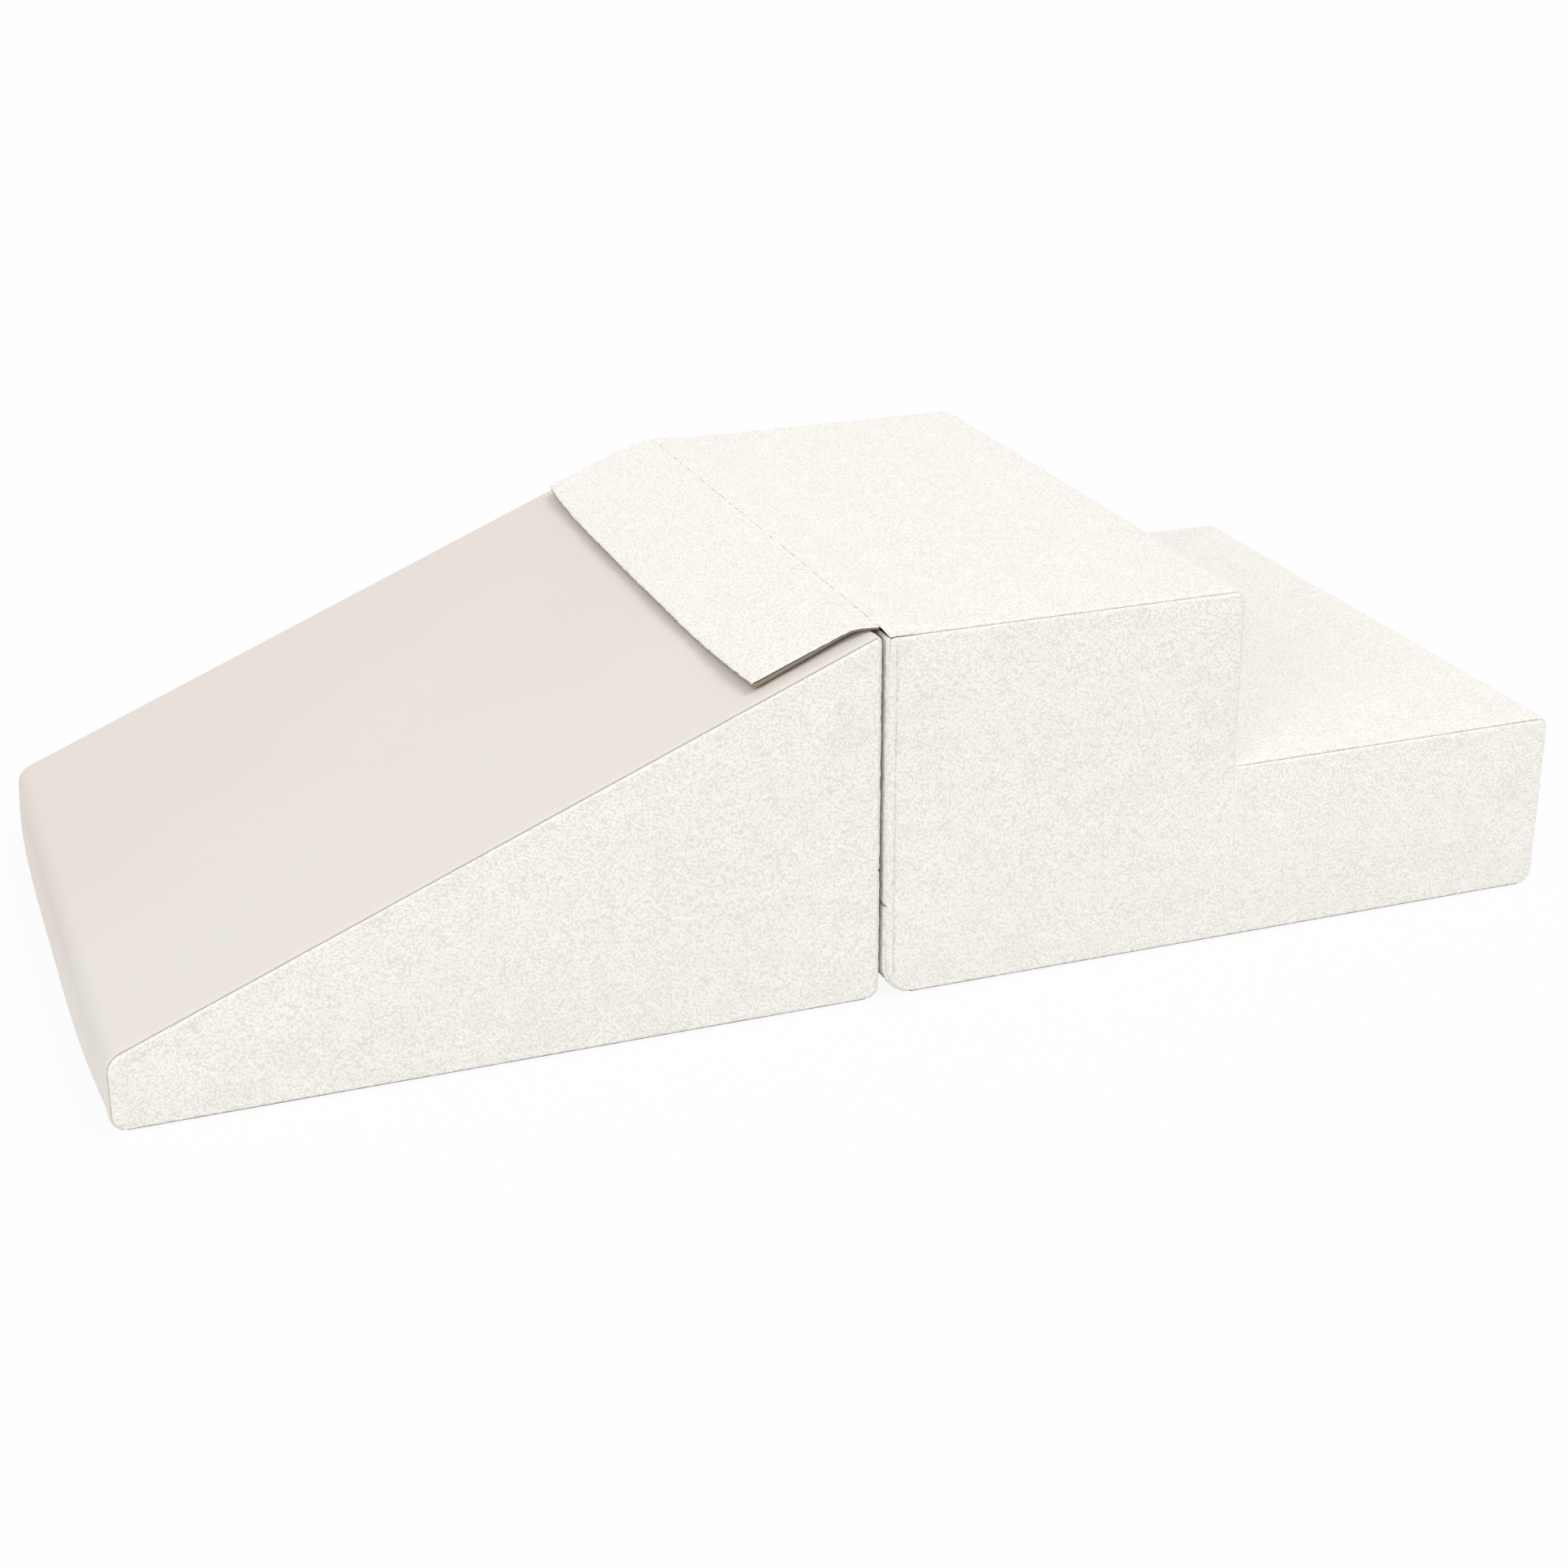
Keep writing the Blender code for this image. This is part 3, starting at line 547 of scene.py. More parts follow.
def stations(start, end, spacing):
    """Places from one seam to the next, close together where the cloth rolls in."""
    rolls = ROLL_SHARES * SEAM_ROLL
    count = max(2, round((end - start - 2 * rolls[-1]) / spacing))
    inner = np.linspace(start + rolls[-1], end - rolls[-1], count + 1)
    return np.concatenate([start + rolls[:-1], inner, end - rolls[-2::-1]])


def closed_panel(name, outer, faces, rim, inner_rim, inner_more, inner_faces, material, nap):
    """A panel's outer skin, its lining and the narrow wall round its rim, as one closed mesh."""
    count = len(outer)
    rim_count = len(rim)
    points = np.concatenate([outer, inner_rim, inner_more])
    lining = inner_faces[:, ::-1] + count
    after = np.roll(np.arange(rim_count), -1)
    wall = np.stack([rim, np.arange(rim_count) + count, after + count, rim[after]], -1)
    mesh = bpy.data.meshes.new(name)
    mesh.from_pydata(points.tolist(), [], [*faces, *lining.tolist(), *wall.tolist()])
    values = np.zeros(len(points), np.float32)
    values[:count] = nap
    mesh.attributes.new("nap", "FLOAT", "POINT").data.foreach_set("value", values)
    cut_places = points.ravel().astype(np.float32)
    mesh.attributes.new("cut_place", "FLOAT_VECTOR", "POINT").data.foreach_set("vector", cut_places)
    made = bmesh.new()
    made.from_mesh(mesh)
    bmesh.ops.recalc_face_normals(made, faces=made.faces)
    made.to_mesh(mesh)
    made.free()
    return new_piece(name, mesh, material)


def wrapped_panel(
    name,
    profile,
    first,
    last,
    material,
    spacing,
    jitter=0.0,
    crown=0.0,
    recess=0.0,
    thickness=PANEL_THICKNESS,
    reach=None,
    rolled=ALL_ROLLED,
    fuller=None,
    shape=None,
    inner_spacing=LINING_SPACING,
):
    """A panel wrapped over a profile from one seam to another.

    It has a crown with puckers and lies this deep. rolled says whether its start, end and sides roll
    into seams, fuller is the middle, half-width and height of a padded edge, measured along the
    profile, and shape moves the finished points.
    """
    start, end = profile.seam(*first) + SEAM_GAP / 2, profile.seam(*last) - SEAM_GAP / 2
    end += profile.length * (end < start)
    reach = reach or profile.half_across
    rows, columns = stations(start, end, spacing), stations(-reach, reach, spacing)
    along, across = np.meshgrid(rows, columns, indexing="ij")
    inner = (slice(len(ROLL_SHARES), -len(ROLL_SHARES)),) * 2
    draw = np.random.default_rng(JITTER_SEED)
    for grid, axis in ((along, 0), (across, 1)):
        room = np.minimum(np.gradient(grid, axis=axis), spacing)[inner]
        grid[inner] += draw.uniform(-jitter, jitter, room.shape) * room
    index = np.arange(along.size).reshape(along.shape)
    rim = np.concatenate([index[:-1, 0], index[-1, :-1], index[:0:-1, -1], index[0, :0:-1]])
    flat = np.stack([along, across], -1).reshape(-1, 2)
    cut = Cut(flat[rim])
    base, out = skin(profile, *flat.T)
    sides = reach - np.abs(flat[:, 1])
    distances = (flat[:, 0] - start, end - flat[:, 0], sides)
    edge = np.minimum.reduce([d for d, rolls in zip(distances, rolled) if rolls] or [0 * sides + 1])
    rise = -recess - rolled_in(edge)
    if crown:
        rise += crown * relief_at(blown_relief(cut), flat)
    if fuller:
        middle, half_width, height = fuller
        rise += height * swell_at((flat[:, 0] - middle) / half_width) * np.clip(sides / FULLER_FADE, 0, 1)
    quads = np.stack([index[:-1, :-1], index[:-1, 1:], index[1:, 1:], index[1:, :-1]], -1).reshape(-1, 4)
    more, filling = cut.filled(inner_spacing)
    inner_rim = skin(profile, *cut.loop.T, recess + thickness)[0]
    inner_more = skin(profile, *more.T, recess + thickness)[0]
    outer = base + out * rise[:, None]
    if shape:
        outer, inner_rim, inner_more = (shape(points) for points in (outer, inner_rim, inner_more))
    nap = np.clip(edge / SEAM_ROLL, 0, 1)
    return closed_panel(name, outer, quads.tolist(), rim, inner_rim, inner_more, filling, material, nap)


def leather_finish():
    """Matt faux leather: a fine pebbled grain with painted shade in its hollows, a faint random warm and
    cool tone, painted light across the slope and a low soft gloss.
    """
    finish = Finish("faux_leather", Roughness=0.5, Coat_Weight=0.04, Coat_Roughness=0.35)
    place = finish.cloth_place()
    # Painted light: adding the cloth's y makes the slope lighter and cooler towards the near side and
    # warmer and darker towards the far side, over a random warm and cool tone.
    across = finish.vector("DOT_PRODUCT", place, (0, 1, 0), output="Value")
    tone_mask = finish.noise(place, LEATHER_PATCH) + across
    color = finish.blend(finish.between(tone_mask, low=0.2, high=0.6), LEATHER_COOL_AND_LIT, LEATHER_WARM_AND_SHADED)
    grain = finish.cells(place, LEATHER_GRAIN)
    wrinkles = finish.noise(place, LEATHER_WRINKLE, detail=4)
    # Painted shade: the valleys between the grain's pebbles are coloured darker.
    valleys = finish.between(grain, low=0.55, high=0.95) * VALLEY_SHADE_SHARE
    finish.feed(Base_Color=finish.blend(valleys, color, LEATHER_VALLEY_SHADE))
    gloss = finish.noise(place, LEATHER_GLOSS_PATCH, detail=3)
    finish.feed(Roughness=finish.spread(gloss, low=0.44, high=0.58))
    finish.relief(weighed((1 - grain, wrinkles), LEATHER_BUMPS), LEATHER_RELIEF)
    return finish.material


core_low, core_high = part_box("slide_foam_core")
slide_back = core_high.x + FOAM_DEPTH + SLIDE_BACK_FILL
slide_toe = core_low.x - FOAM_DEPTH
slide_profile = Profile(
    {
        "foot": (slide_back, 0, SLIDE_FOOT_ROUND, 0),
        "slot_foot": (slide_back, SLIDE_ZIP_HEIGHT - ZIP_SLOT / 2, 0, 0),
        "slot_middle": (slide_back, SLIDE_ZIP_HEIGHT, 0, 0),
        "slot_head": (slide_back, SLIDE_ZIP_HEIGHT + ZIP_SLOT / 2, 0, 0),
        "ridge": (slide_back, RIDGE_HEIGHT, RIDGE_ROUND, 0),
        "toe_top": (slide_toe, TOE_HEIGHT, TOE_TOP_ROUND, NOSE_CROWN),
        "toe_foot": (slide_toe, 0, TOE_FOOT_ROUND, 0),
    }
)
leather = leather_finish()
slope_seams = ("ridge", 0.5), ("toe_foot", FOOT_SEAM_SHARE)
slope = wrapped_panel(
    "slide_slope_cover", slide_profile, *slope_seams, leather, SLOPE_SPACING, crown=SLOPE_CROWN
)
sewn_in(slope, "slide_module", "faux_leather", "slide_slope_panel")

# Slide sides and back
# Cream boucle, a looped-yarn cloth with nubs and pits, backed with thin wadding. The two wedges are
# sewn round their whole outline, and the back has a zip between its two parts.
BOUCLE_SPACING = 0.0021
BOUCLE_JITTER = 0.3
NUB_SIZE = 0.0021
NUB_HEIGHT = 0.0005
NUB_RELIEF = 0.0004
NUB_BUMPS = (0.6, 0.4)
NUB_SHADING = (0.7, 0.5, 0.2)
LUMP_SIZE = 0.0054
CURL_REACH_SHARE = 0.45
YARN_SIZE = 0.0008
BOUCLE_PATCH = 0.020
BOUCLE_COLOR = (0.915, 0.890, 0.845)
BOUCLE_LIGHT = (0.935, 0.912, 0.868)
# The pit colour is painted shade: the grey that the pits between the nubs take.
BOUCLE_PIT_SHADE = (0.755, 0.722, 0.668)
SIDE_CROWN = 0.004
BACK_CROWN = 0.0008
CREASE_DEPTH = 0.0012
SMOOTH_FADE = 0.02
ZIP_END = (0.270, 0.277)


def nubs(web, place, size):
    """The height of the looped yarn, from 0 in its pits to 1 on its nubs."""
    curl = web.vector("SUBTRACT", web.noise(place, size, output="Color"), (0.5, 0.5, 0.5))
    bent = web.vector("MULTIPLY_ADD", curl, (size * CURL_REACH_SHARE,) * 3, place)
    return 1 - web.between(web.cells(bent, size), low=0.25, high=0.80)


def boucle_finish():
    """Looped yarn: pale nubs over pits painted greyer as shade, with fine threads on the nubs."""
    finish = Finish("boucle", Roughness=0.95, Sheen_Weight=0.15, Sheen_Roughness=0.6)
    place = finish.cloth_place()
    height = nubs(finish, place, NUB_SIZE)
    threads = finish.noise(place, YARN_SIZE)
    lumps = finish.noise(place, LUMP_SIZE)
    tone_mask = finish.between(finish.noise(place, BOUCLE_PATCH, detail=3), low=0.4, high=0.6)
    tint = finish.blend(tone_mask, BOUCLE_COLOR, BOUCLE_LIGHT)
    # Painted shade: the pits between the nubs are coloured greyer; threads and lumps add a random tone.
    shaded = finish.between(weighed((height, threads, lumps), NUB_SHADING), low=0.15, high=0.95)
    finish.feed(Base_Color=finish.blend(shaded, BOUCLE_PIT_SHADE, tint))
    finish.relief(weighed((height, threads), NUB_BUMPS), NUB_RELIEF)
    return finish.material


def eased(share):
    """A share from 0 to 1 that leaves 0 and reaches 1 smoothly."""
    return share**2 * (3 - 2 * share)


def zip_ends_closed(height):
    """A shape that lets the two parts of a back meet beyond the ends of the zip at this height."""

    def shape(points):
        moved = points.copy()
        away = points[:, 2] - height
        closing = eased(np.interp(np.abs(points[:, 1]), ZIP_END, (0, 1)))
        closing *= np.interp(np.abs(away), (ZIP_SLOT / 2, ZIP_SLOT * 2), (1, 0))
        moved[:, 2] -= np.sign(away) * (ZIP_SLOT - SEAM_GAP) / 2 * closing
        return moved

    return shape


class Pattern(Web):
    """A Geometry Nodes tree under construction, with named inputs for its sizes."""

    def __init__(self, name, **sizes):
        super().__init__(bpy.data.node_groups.new(name, "GeometryNodeTree"))
        face = self.tree.interface
        for way in ("INPUT", "OUTPUT"):
            face.new_socket(name="Geometry", in_out=way, socket_type="NodeSocketGeometry")
        for key, value in sizes.items():
            socket = face.new_socket(name=key, in_out="INPUT", socket_type="NodeSocketFloat")
            socket.default_value = value
        self.entry = self.tree.nodes.new("NodeGroupInput")

    def given(self, name):
        return Wire(self, self.entry.outputs[name])

    def nap(self):
        """How far the nap may rise, as the panel's attribute says."""
        return self.node("GeometryNodeInputNamedAttribute", data_type="FLOAT", Name="nap")

    def on_points(self, points, instance, **more):
        return self.node("GeometryNodeInstanceOnPoints", Points=points, Instance=instance, **more)

    def joined(self, *parts):
        together = self.tree.nodes.new("GeometryNodeJoinGeometry")
        for part in parts:
            self.give(together.inputs[0], part)
        return Wire(self, together.outputs[0])

    def finished(self, geometry, material):
        """Ends the tree: its instances become real and take the material."""
        real = self.node("GeometryNodeRealizeInstances", Geometry=geometry)
        painted = self.node("GeometryNodeSetMaterial", Geometry=real, Material=material)
        self.give(self.tree.nodes.new("NodeGroupOutput").inputs["Geometry"], painted)
        return self


def worked(piece, pattern, **sizes):
    """Works a pattern into a piece's mesh and leaves it as a plain mesh."""
    modifier = piece.modifiers.new("pattern", "NODES")
    modifier.node_group = pattern.tree
    for item in pattern.tree.interface.items_tree:
        if item.in_out == "INPUT" and item.name in sizes:
            modifier[item.identifier] = sizes[item.name]
    depsgraph = bpy.context.evaluated_depsgraph_get()
    shown = piece.evaluated_get(depsgraph)
    mesh = bpy.data.meshes.new_from_object(shown, preserve_all_data_layers=True, depsgraph=depsgraph)
    piece.modifiers.remove(modifier)
    piece.data = mesh
    return piece


def boucle_nap(material):
    """Raises the yarn's nubs out of a finely divided panel, as far as its nap attribute allows."""
    pattern = Pattern("boucle_nap", nub_height=NUB_HEIGHT)
    height = nubs(pattern, pattern.node("GeometryNodeInputPosition"), LUMP_SIZE) - 0.5
    lift = height * pattern.nap() * pattern.given("nub_height")
    offset = pattern.vector("SCALE", pattern.node("GeometryNodeInputNormal"), Scale=lift)
    panel = pattern.given("Geometry")
    return pattern.finished(pattern.node("GeometryNodeSetPosition", panel, Offset=offset), material)


def side_panel(name, profile, side, crown, material, crease=None, smooth=None):
    """The padded side of a module, sewn all round its outline, with an upright crease at this x.

    The cloth doesn't roll in along the smooth part, a pair of distances along the outline.
    """
    start = HALF_FLAT + SIDE_ROUND * math.pi / 4 + SEAM_GAP / 2
    top = HALF_FLAT + SIDE_ROUND * math.pi / 2
    across = np.concatenate([start + ROLL_SHARES * SEAM_ROLL, [top]])
    along = profile.stops(BOUCLE_SPACING)
    rings, normals = skin(profile, along[None, :], side * across[:, None] + 0 * along[None, :])
    flat_ring = rings[-1][:, (0, 2)]
    cut = Cut(flat_ring)
    inside, filling = cut.filled(BOUCLE_SPACING, BOUCLE_JITTER, crease)
    rows, columns = rings.shape[:2]
    ring_points = rings.reshape(-1, 3)
    base = np.concatenate([ring_points, np.insert(inside, 1, side * (HALF_FLAT + SIDE_ROUND), axis=1)])
    out = np.concatenate([normals.reshape(-1, 3), np.tile((0, side, 0), (len(inside), 1))])
    ring_edge = np.repeat(across - start, columns)
    edge = np.concatenate([ring_edge, cut.depth(inside) + top - start])
    flat = base[:, (0, 2)]
    roll = rolled_in(edge)
    if smooth:
        inside_smooth = np.minimum(along - smooth[0], smooth[1] - along) / SMOOTH_FADE
        roll[: rings[..., 0].size] *= np.tile(1 - np.clip(inside_smooth, 0, 1), rows)
    rise = crown * relief_at(blown_relief(cut), flat) - roll
    if crease is not None:
        rise -= CREASE_DEPTH * swell_at((flat[:, 0] - crease) / CREASE_REACH) * (edge > SIDE_ROUND)
    index = np.arange(rows * columns).reshape(rows, columns)
    after = np.roll(index, -1, axis=1)
    bands = np.stack([index[:-1], after[:-1], after[1:], index[1:]], -1).reshape(-1, 4)
    shift = (rows - 1) * columns
    faces = [*bands.tolist(), *(filling + shift).tolist()]
    outer = base + out * rise[:, None]
    more, inner_filling = cut.filled(LINING_SPACING)
    inner_rim = skin(profile, along, side * np.full(columns, start), PANEL_THICKNESS)[0]
    deep = side * (HALF_FLAT + SIDE_ROUND - PANEL_THICKNESS)
    inner_more = np.insert(more, 1, deep, axis=1)
    nap = np.clip(edge / SEAM_ROLL, 0, 1)
    return closed_panel(name, outer, faces, index[0], inner_rim, inner_more, inner_filling, material, nap)


boucle = boucle_finish()
boucle_cut = (boucle, BOUCLE_SPACING, BOUCLE_JITTER)
raised_nap = boucle_nap(boucle)


def boucle_piece(piece, body, node):
    """Raises the nap of a boucle panel and lets it stand for its node."""
    worked(piece, raised_nap)
    sewn_in(piece, body, "boucle", node)


for label, side in (("near", -1), ("far", 1)):
    panel = side_panel(f"slide_side_cover_{label}", slide_profile, side, SIDE_CROWN, boucle)
    boucle_piece(panel, "slide_module", f"slide_side_panel_{label}")
for label, first, last in (
    ("lower", ("foot", 1 - FOOT_SEAM_SHARE), ("slot_foot", 0)),
    ("upper", ("slot_head", 0), ("ridge", 0.5)),
):
    name = f"slide_back_cover_{label}"
    shape = zip_ends_closed(SLIDE_ZIP_HEIGHT)
    panel = wrapped_panel(name, slide_profile, first, last, *boucle_cut, crown=BACK_CROWN, shape=shape)
    boucle_piece(panel, "slide_module", f"slide_back_panel_{label}")

# Slide base cloth
# A charcoal polyester cloth closes the underside. Rows of soft rubber dots are printed on it, so
# that the slide doesn't creep on a smooth floor.
BASE_THICKNESS = 0.0009
DOT_HEIGHT = 0.0006
DOT_RADIUS = 0.0016
DOT_PITCH = 0.012
DOT_MARGIN = 0.012
DOT_END_MARGIN = 0.022
DOT_SIDES = 9
DOT_SUNK_SHARE = 0.7
SLUB_YARNS = 8
WEAVE_SHADING = (1, 0.6)
WEAVE_BUMPS = (1, 0.3)
BLOOM_SIZE = 0.02
BASE_YARN = 0.0009
BASE_COLOR = (0.075, 0.073, 0.072)
# The lighter base colour is painted light on the yarns where they cross over, and also the real dusty
# bloom of the rubber dots.
BASE_LIT_YARN_AND_BLOOM = (0.125, 0.122, 0.120)
DOT_COLOR = (0.045, 0.045, 0.047)


def woven_finish(name, color, light, yarn, relief=0.00015, roughness=0.85):
    """Plain weave: over and under yarns that cross, with slubs, painted lighter where a yarn crosses over
    and darker where it dips under as painted shade.
    """
    finish = Finish(name, Roughness=roughness)
    place = finish.cloth_place()
    x = finish.node("ShaderNodeSeparateXYZ", finish.vector("SCALE", place, Scale=math.pi / yarn))
    over = (x + x.beside("Z")).sine() * x.beside("Y").sine() * 0.5 + 0.5
    slubs = finish.noise(place, yarn * SLUB_YARNS, detail=3)
    # Painted shade: the colour darkens where a yarn dips under and lightens where it crosses over; the
    # slubs add a real random tone.
    shade = finish.between(weighed((over, slubs), WEAVE_SHADING), low=0.4, high=1.2)
    finish.feed(Base_Color=finish.blend(shade, color, light))
    finish.relief(weighed((over, slubs), WEAVE_BUMPS), relief)
    return finish.material


def rubber_finish():
    """Printed rubber with a dusty bloom."""
    finish = Finish("rubber_dots", Roughness=0.7)
    bloom = finish.noise(finish.place(), BLOOM_SIZE, detail=4)
    finish.feed(Base_Color=finish.blend(bloom, DOT_COLOR, BASE_LIT_YARN_AND_BLOOM))
    finish.feed(Roughness=finish.spread(bloom, low=0.55, high=0.85))
    return finish.material


def dot_rows(material):
    """Two grids of small round dots, the second shifted half a pitch both ways."""
    pattern = Pattern("dot_rows", x=0.0, length=0.5, width=0.5, radius=DOT_RADIUS, height=DOT_HEIGHT)
    height = pattern.given("height")
    sizes = {"Vertices": DOT_SIDES, "Radius": pattern.given("radius"), "Depth": height}
    dot = pattern.node("GeometryNodeMeshCylinder", **sizes)
    rows = []
    for shift in (0.0, DOT_PITCH / 2):
        length = pattern.given("length") - shift * 2
        width = pattern.given("width") - shift * 2
        sizes = {"Vertices_X": length / DOT_PITCH + 1, "Vertices_Y": width / DOT_PITCH + 1}
        rows.append(pattern.node("GeometryNodeMeshGrid", length, width, **sizes))
    place = pattern.point(X=pattern.given("x"), Z=height / 2)
    moved = pattern.node("GeometryNodeSetPosition", pattern.joined(*rows), Offset=place)
    return pattern.finished(pattern.on_points(moved, dot), material)


def patterned(name, material, pattern, **sizes):
    """A piece that is all pattern."""
    return worked(new_piece(name, bpy.data.meshes.new(name), material), pattern, **sizes)


def base_cloth_pieces(prefix, profile, first, last):
    """The base cloth of a module and its dots."""
    name, module = f"{prefix}_base_cloth", f"{prefix}_module"
    sunk = DOT_HEIGHT * DOT_SUNK_SHARE
    sizes = {"recess": sunk, "thickness": BASE_THICKNESS}
    cloth = wrapped_panel(name, profile, first, last, base_cloth, SLOPE_SPACING, **sizes)
    sewn_in(cloth, module, "base_cloth", f"{prefix}_base_panel")
    low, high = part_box(f"{prefix}_base_panel")
    length, width = high.x - low.x - 2 * DOT_END_MARGIN, 2 * HALF_FLAT - 2 * DOT_MARGIN
    sizes = {"length": length // DOT_PITCH * DOT_PITCH, "width": width // DOT_PITCH * DOT_PITCH}
    dots = patterned(f"{prefix}_base_dots", rubber, dot_pattern, x=(low.x + high.x) / 2, **sizes)
    sewn_in(dots, module, "base_cloth")
    flat = (2 * profile.half_across, high.x - low.x)


base_cloth = woven_finish("base_cloth", BASE_COLOR, BASE_LIT_YARN_AND_BLOOM, BASE_YARN)
rubber = rubber_finish()
dot_pattern = dot_rows(rubber)
base_cloth_pieces("slide", slide_profile, ("toe_foot", FOOT_SEAM_SHARE), ("foot", 1 - FOOT_SEAM_SHARE))

# Slide zip
# A closed-end nylon coil zip in the back lets the cover come off for washing. Its woven tapes are
# topstitched to the two parts of the back, and a small nickel slider runs on the coils.
TAPE_DEPTH = 0.0018
TAPE_THICKNESS = 0.0009
TAPE_YARN = 0.0005
TAPE_COLOR = (0.780, 0.745, 0.680)
# The lighter tape colour is painted light on the yarns where they cross over.
TAPE_LIT_YARN = (0.850, 0.820, 0.765)
COIL_COLOR = (0.800, 0.770, 0.710)
# The coil's second colour is painted shade, for the low parts of its twist.
COIL_PAINTED_SHADE = (0.700, 0.665, 0.600)
TOOTH_PITCH = 0.0014
TOOTH_LENGTH = 0.0030
TOOTH_THICKNESS = 0.0009
TOOTH_DEPTH = 0.0014
TOOTH_SIDES = (8, 6)
STITCH_PITCH = 0.0038
STITCH_LENGTH = 0.0030
STITCH_THICKNESS = 0.0006
STITCH_SINK = 0.0001
STITCH_SIDES = (6, 6)
STITCH_INSET = 0.0035
THREAD_COLOR = (0.860, 0.830, 0.780)
# The thread's second colour is painted shade, for the low parts of its twist.
THREAD_PAINTED_SHADE = (0.760, 0.725, 0.665)
TWIST_RELIEF = 1 / 6
NICKEL_COLOR = (0.610, 0.590, 0.560)
NICKEL_SHADE = (0.420, 0.405, 0.385)
SCRATCH_SIZE = 0.0015
SCRATCH_DEPTH = 0.00003
SLIDER_OUTLINE = (
    (-1.0, 0.55),
    (-0.75, 0.85),
    (-0.3, 0.92),
    (0.35, 0.98),
    (0.75, 1.0),
    (0.95, 0.8),
    (1.0, 0.35),
)
SLIDER_PLATE = 0.0013
SLIDER_WALL = 0.0008
SLIDER_WALL_SHARE = 0.75
SLIDER_EDGE = 0.00018
BRIDGE_PARTS = 9
BRIDGE_RISE = 0.0006
BRIDGE_THICKNESS = 0.0005
BRIDGE_SUNK = 0.0002
BRIDGE_REACH = 0.0026
BRIDGE_HALF_WIDTH = 0.0009
RAY_START = 0.02


def nylon_finish(name, color, shade, size, roughness):
    """Drawn nylon or spun thread: a fine twist with painted shade in its low parts, and a slight gloss."""
    finish = Finish(name, Roughness=roughness)
    twist = finish.noise(finish.place(), size, detail=3)
    # Painted shade: the low parts of the twist are coloured darker.
    finish.feed(Base_Color=finish.blend(finish.between(twist, low=0.3, high=0.7), shade, color))
    finish.relief(twist, size * TWIST_RELIEF)
    return finish.material


def nickel_finish():
    """Cast and tumbled nickel plate, with fine scratches."""
    finish = Finish("nickel", Metallic=1.0, Roughness=0.32)
    wear = finish.between(finish.noise(finish.place(), SCRATCH_SIZE, detail=4), low=0.45, high=0.75)
    finish.feed(Base_Color=finish.blend(wear, NICKEL_COLOR, NICKEL_SHADE))
    finish.feed(Roughness=finish.spread(wear, low=0.25, high=0.5))
    finish.relief(wear, SCRATCH_DEPTH)
    return finish.material


def zip_teeth(material):
    """A row of coil turns along the zip."""
    pattern = Pattern("zip_teeth", x=0.0, z=0.0, length=0.5, pitch=TOOTH_PITCH)
    length, pitch = pattern.given("length"), pattern.given("pitch")
    start = pattern.point(X=pattern.given("x"), Y=length * -0.5, Z=pattern.given("z"))
    places = {"Start_Location": start, "Offset": pattern.point(Y=pitch)}
    line = pattern.node("GeometryNodeMeshLine", Count=length / pitch, **places)
    turn = pattern.node("GeometryNodeMeshUVSphere", *TOOTH_SIDES, Radius=0.5)
    teeth = pattern.on_points(line, turn, Scale=(TOOTH_DEPTH, TOOTH_THICKNESS, TOOTH_LENGTH))
    return pattern.finished(teeth, material)


def stitch_rows(material):
    """Thread stitches along the edges of a mesh of lines."""
    pattern = Pattern("stitch_rows", pitch=STITCH_PITCH, length=STITCH_LENGTH, thickness=STITCH_THICKNESS)
    curve = pattern.node("GeometryNodeMeshToCurve", pattern.given("Geometry"))
    pitch, thickness = pattern.given("pitch"), pattern.given("thickness")
    points = pattern.node("GeometryNodeCurveToPoints", mode="LENGTH", Curve=curve, Length=pitch)
    stitch = pattern.node("GeometryNodeMeshUVSphere", *STITCH_SIDES, Radius=0.5)
    size = pattern.point(X=thickness, Y=thickness, Z=pattern.given("length"))
    stitches = pattern.on_points(points, stitch, Rotation=points.beside("Rotation"), Scale=size)
    return pattern.finished(stitches, material)


def laid_on(carrier, points, out):
    """Points moved onto a piece's surface, as seen from the side that out points to."""
    corners = [v.co for v in carrier.data.vertices]
    surface = BVHTree.FromPolygons(corners, [p.vertices for p in carrier.data.polygons])
    found = [surface.ray_cast(Vector(p) + RAY_START * out, -out)[0] or Vector(p) for p in points]
    return np.array(found)


def stitched(name, body, slot, carrier, line, out):
    """A row of stitches laid on a piece along a line of points."""
    points = laid_on(carrier, line, out) + np.array(out) * STITCH_SINK
    mesh = bpy.data.meshes.new(name)
    mesh.from_pydata(points.tolist(), [(i, i + 1) for i in range(len(points) - 1)], [])
    sewn_in(worked(new_piece(name, mesh, thread), stitch_pattern), body, slot)


def lofted(made, rings):
    """Adds a closed skin through rings of points, with a face on each end."""
    loops = [[made.verts.new(point) for point in ring] for ring in rings]
    for first, second in zip(loops, loops[1:]):
        for k in range(len(first)):
            made.faces.new((first[k - 1], second[k - 1], second[k], first[k]))
    made.faces.new(loops[0])
    made.faces.new(loops[-1][::-1])


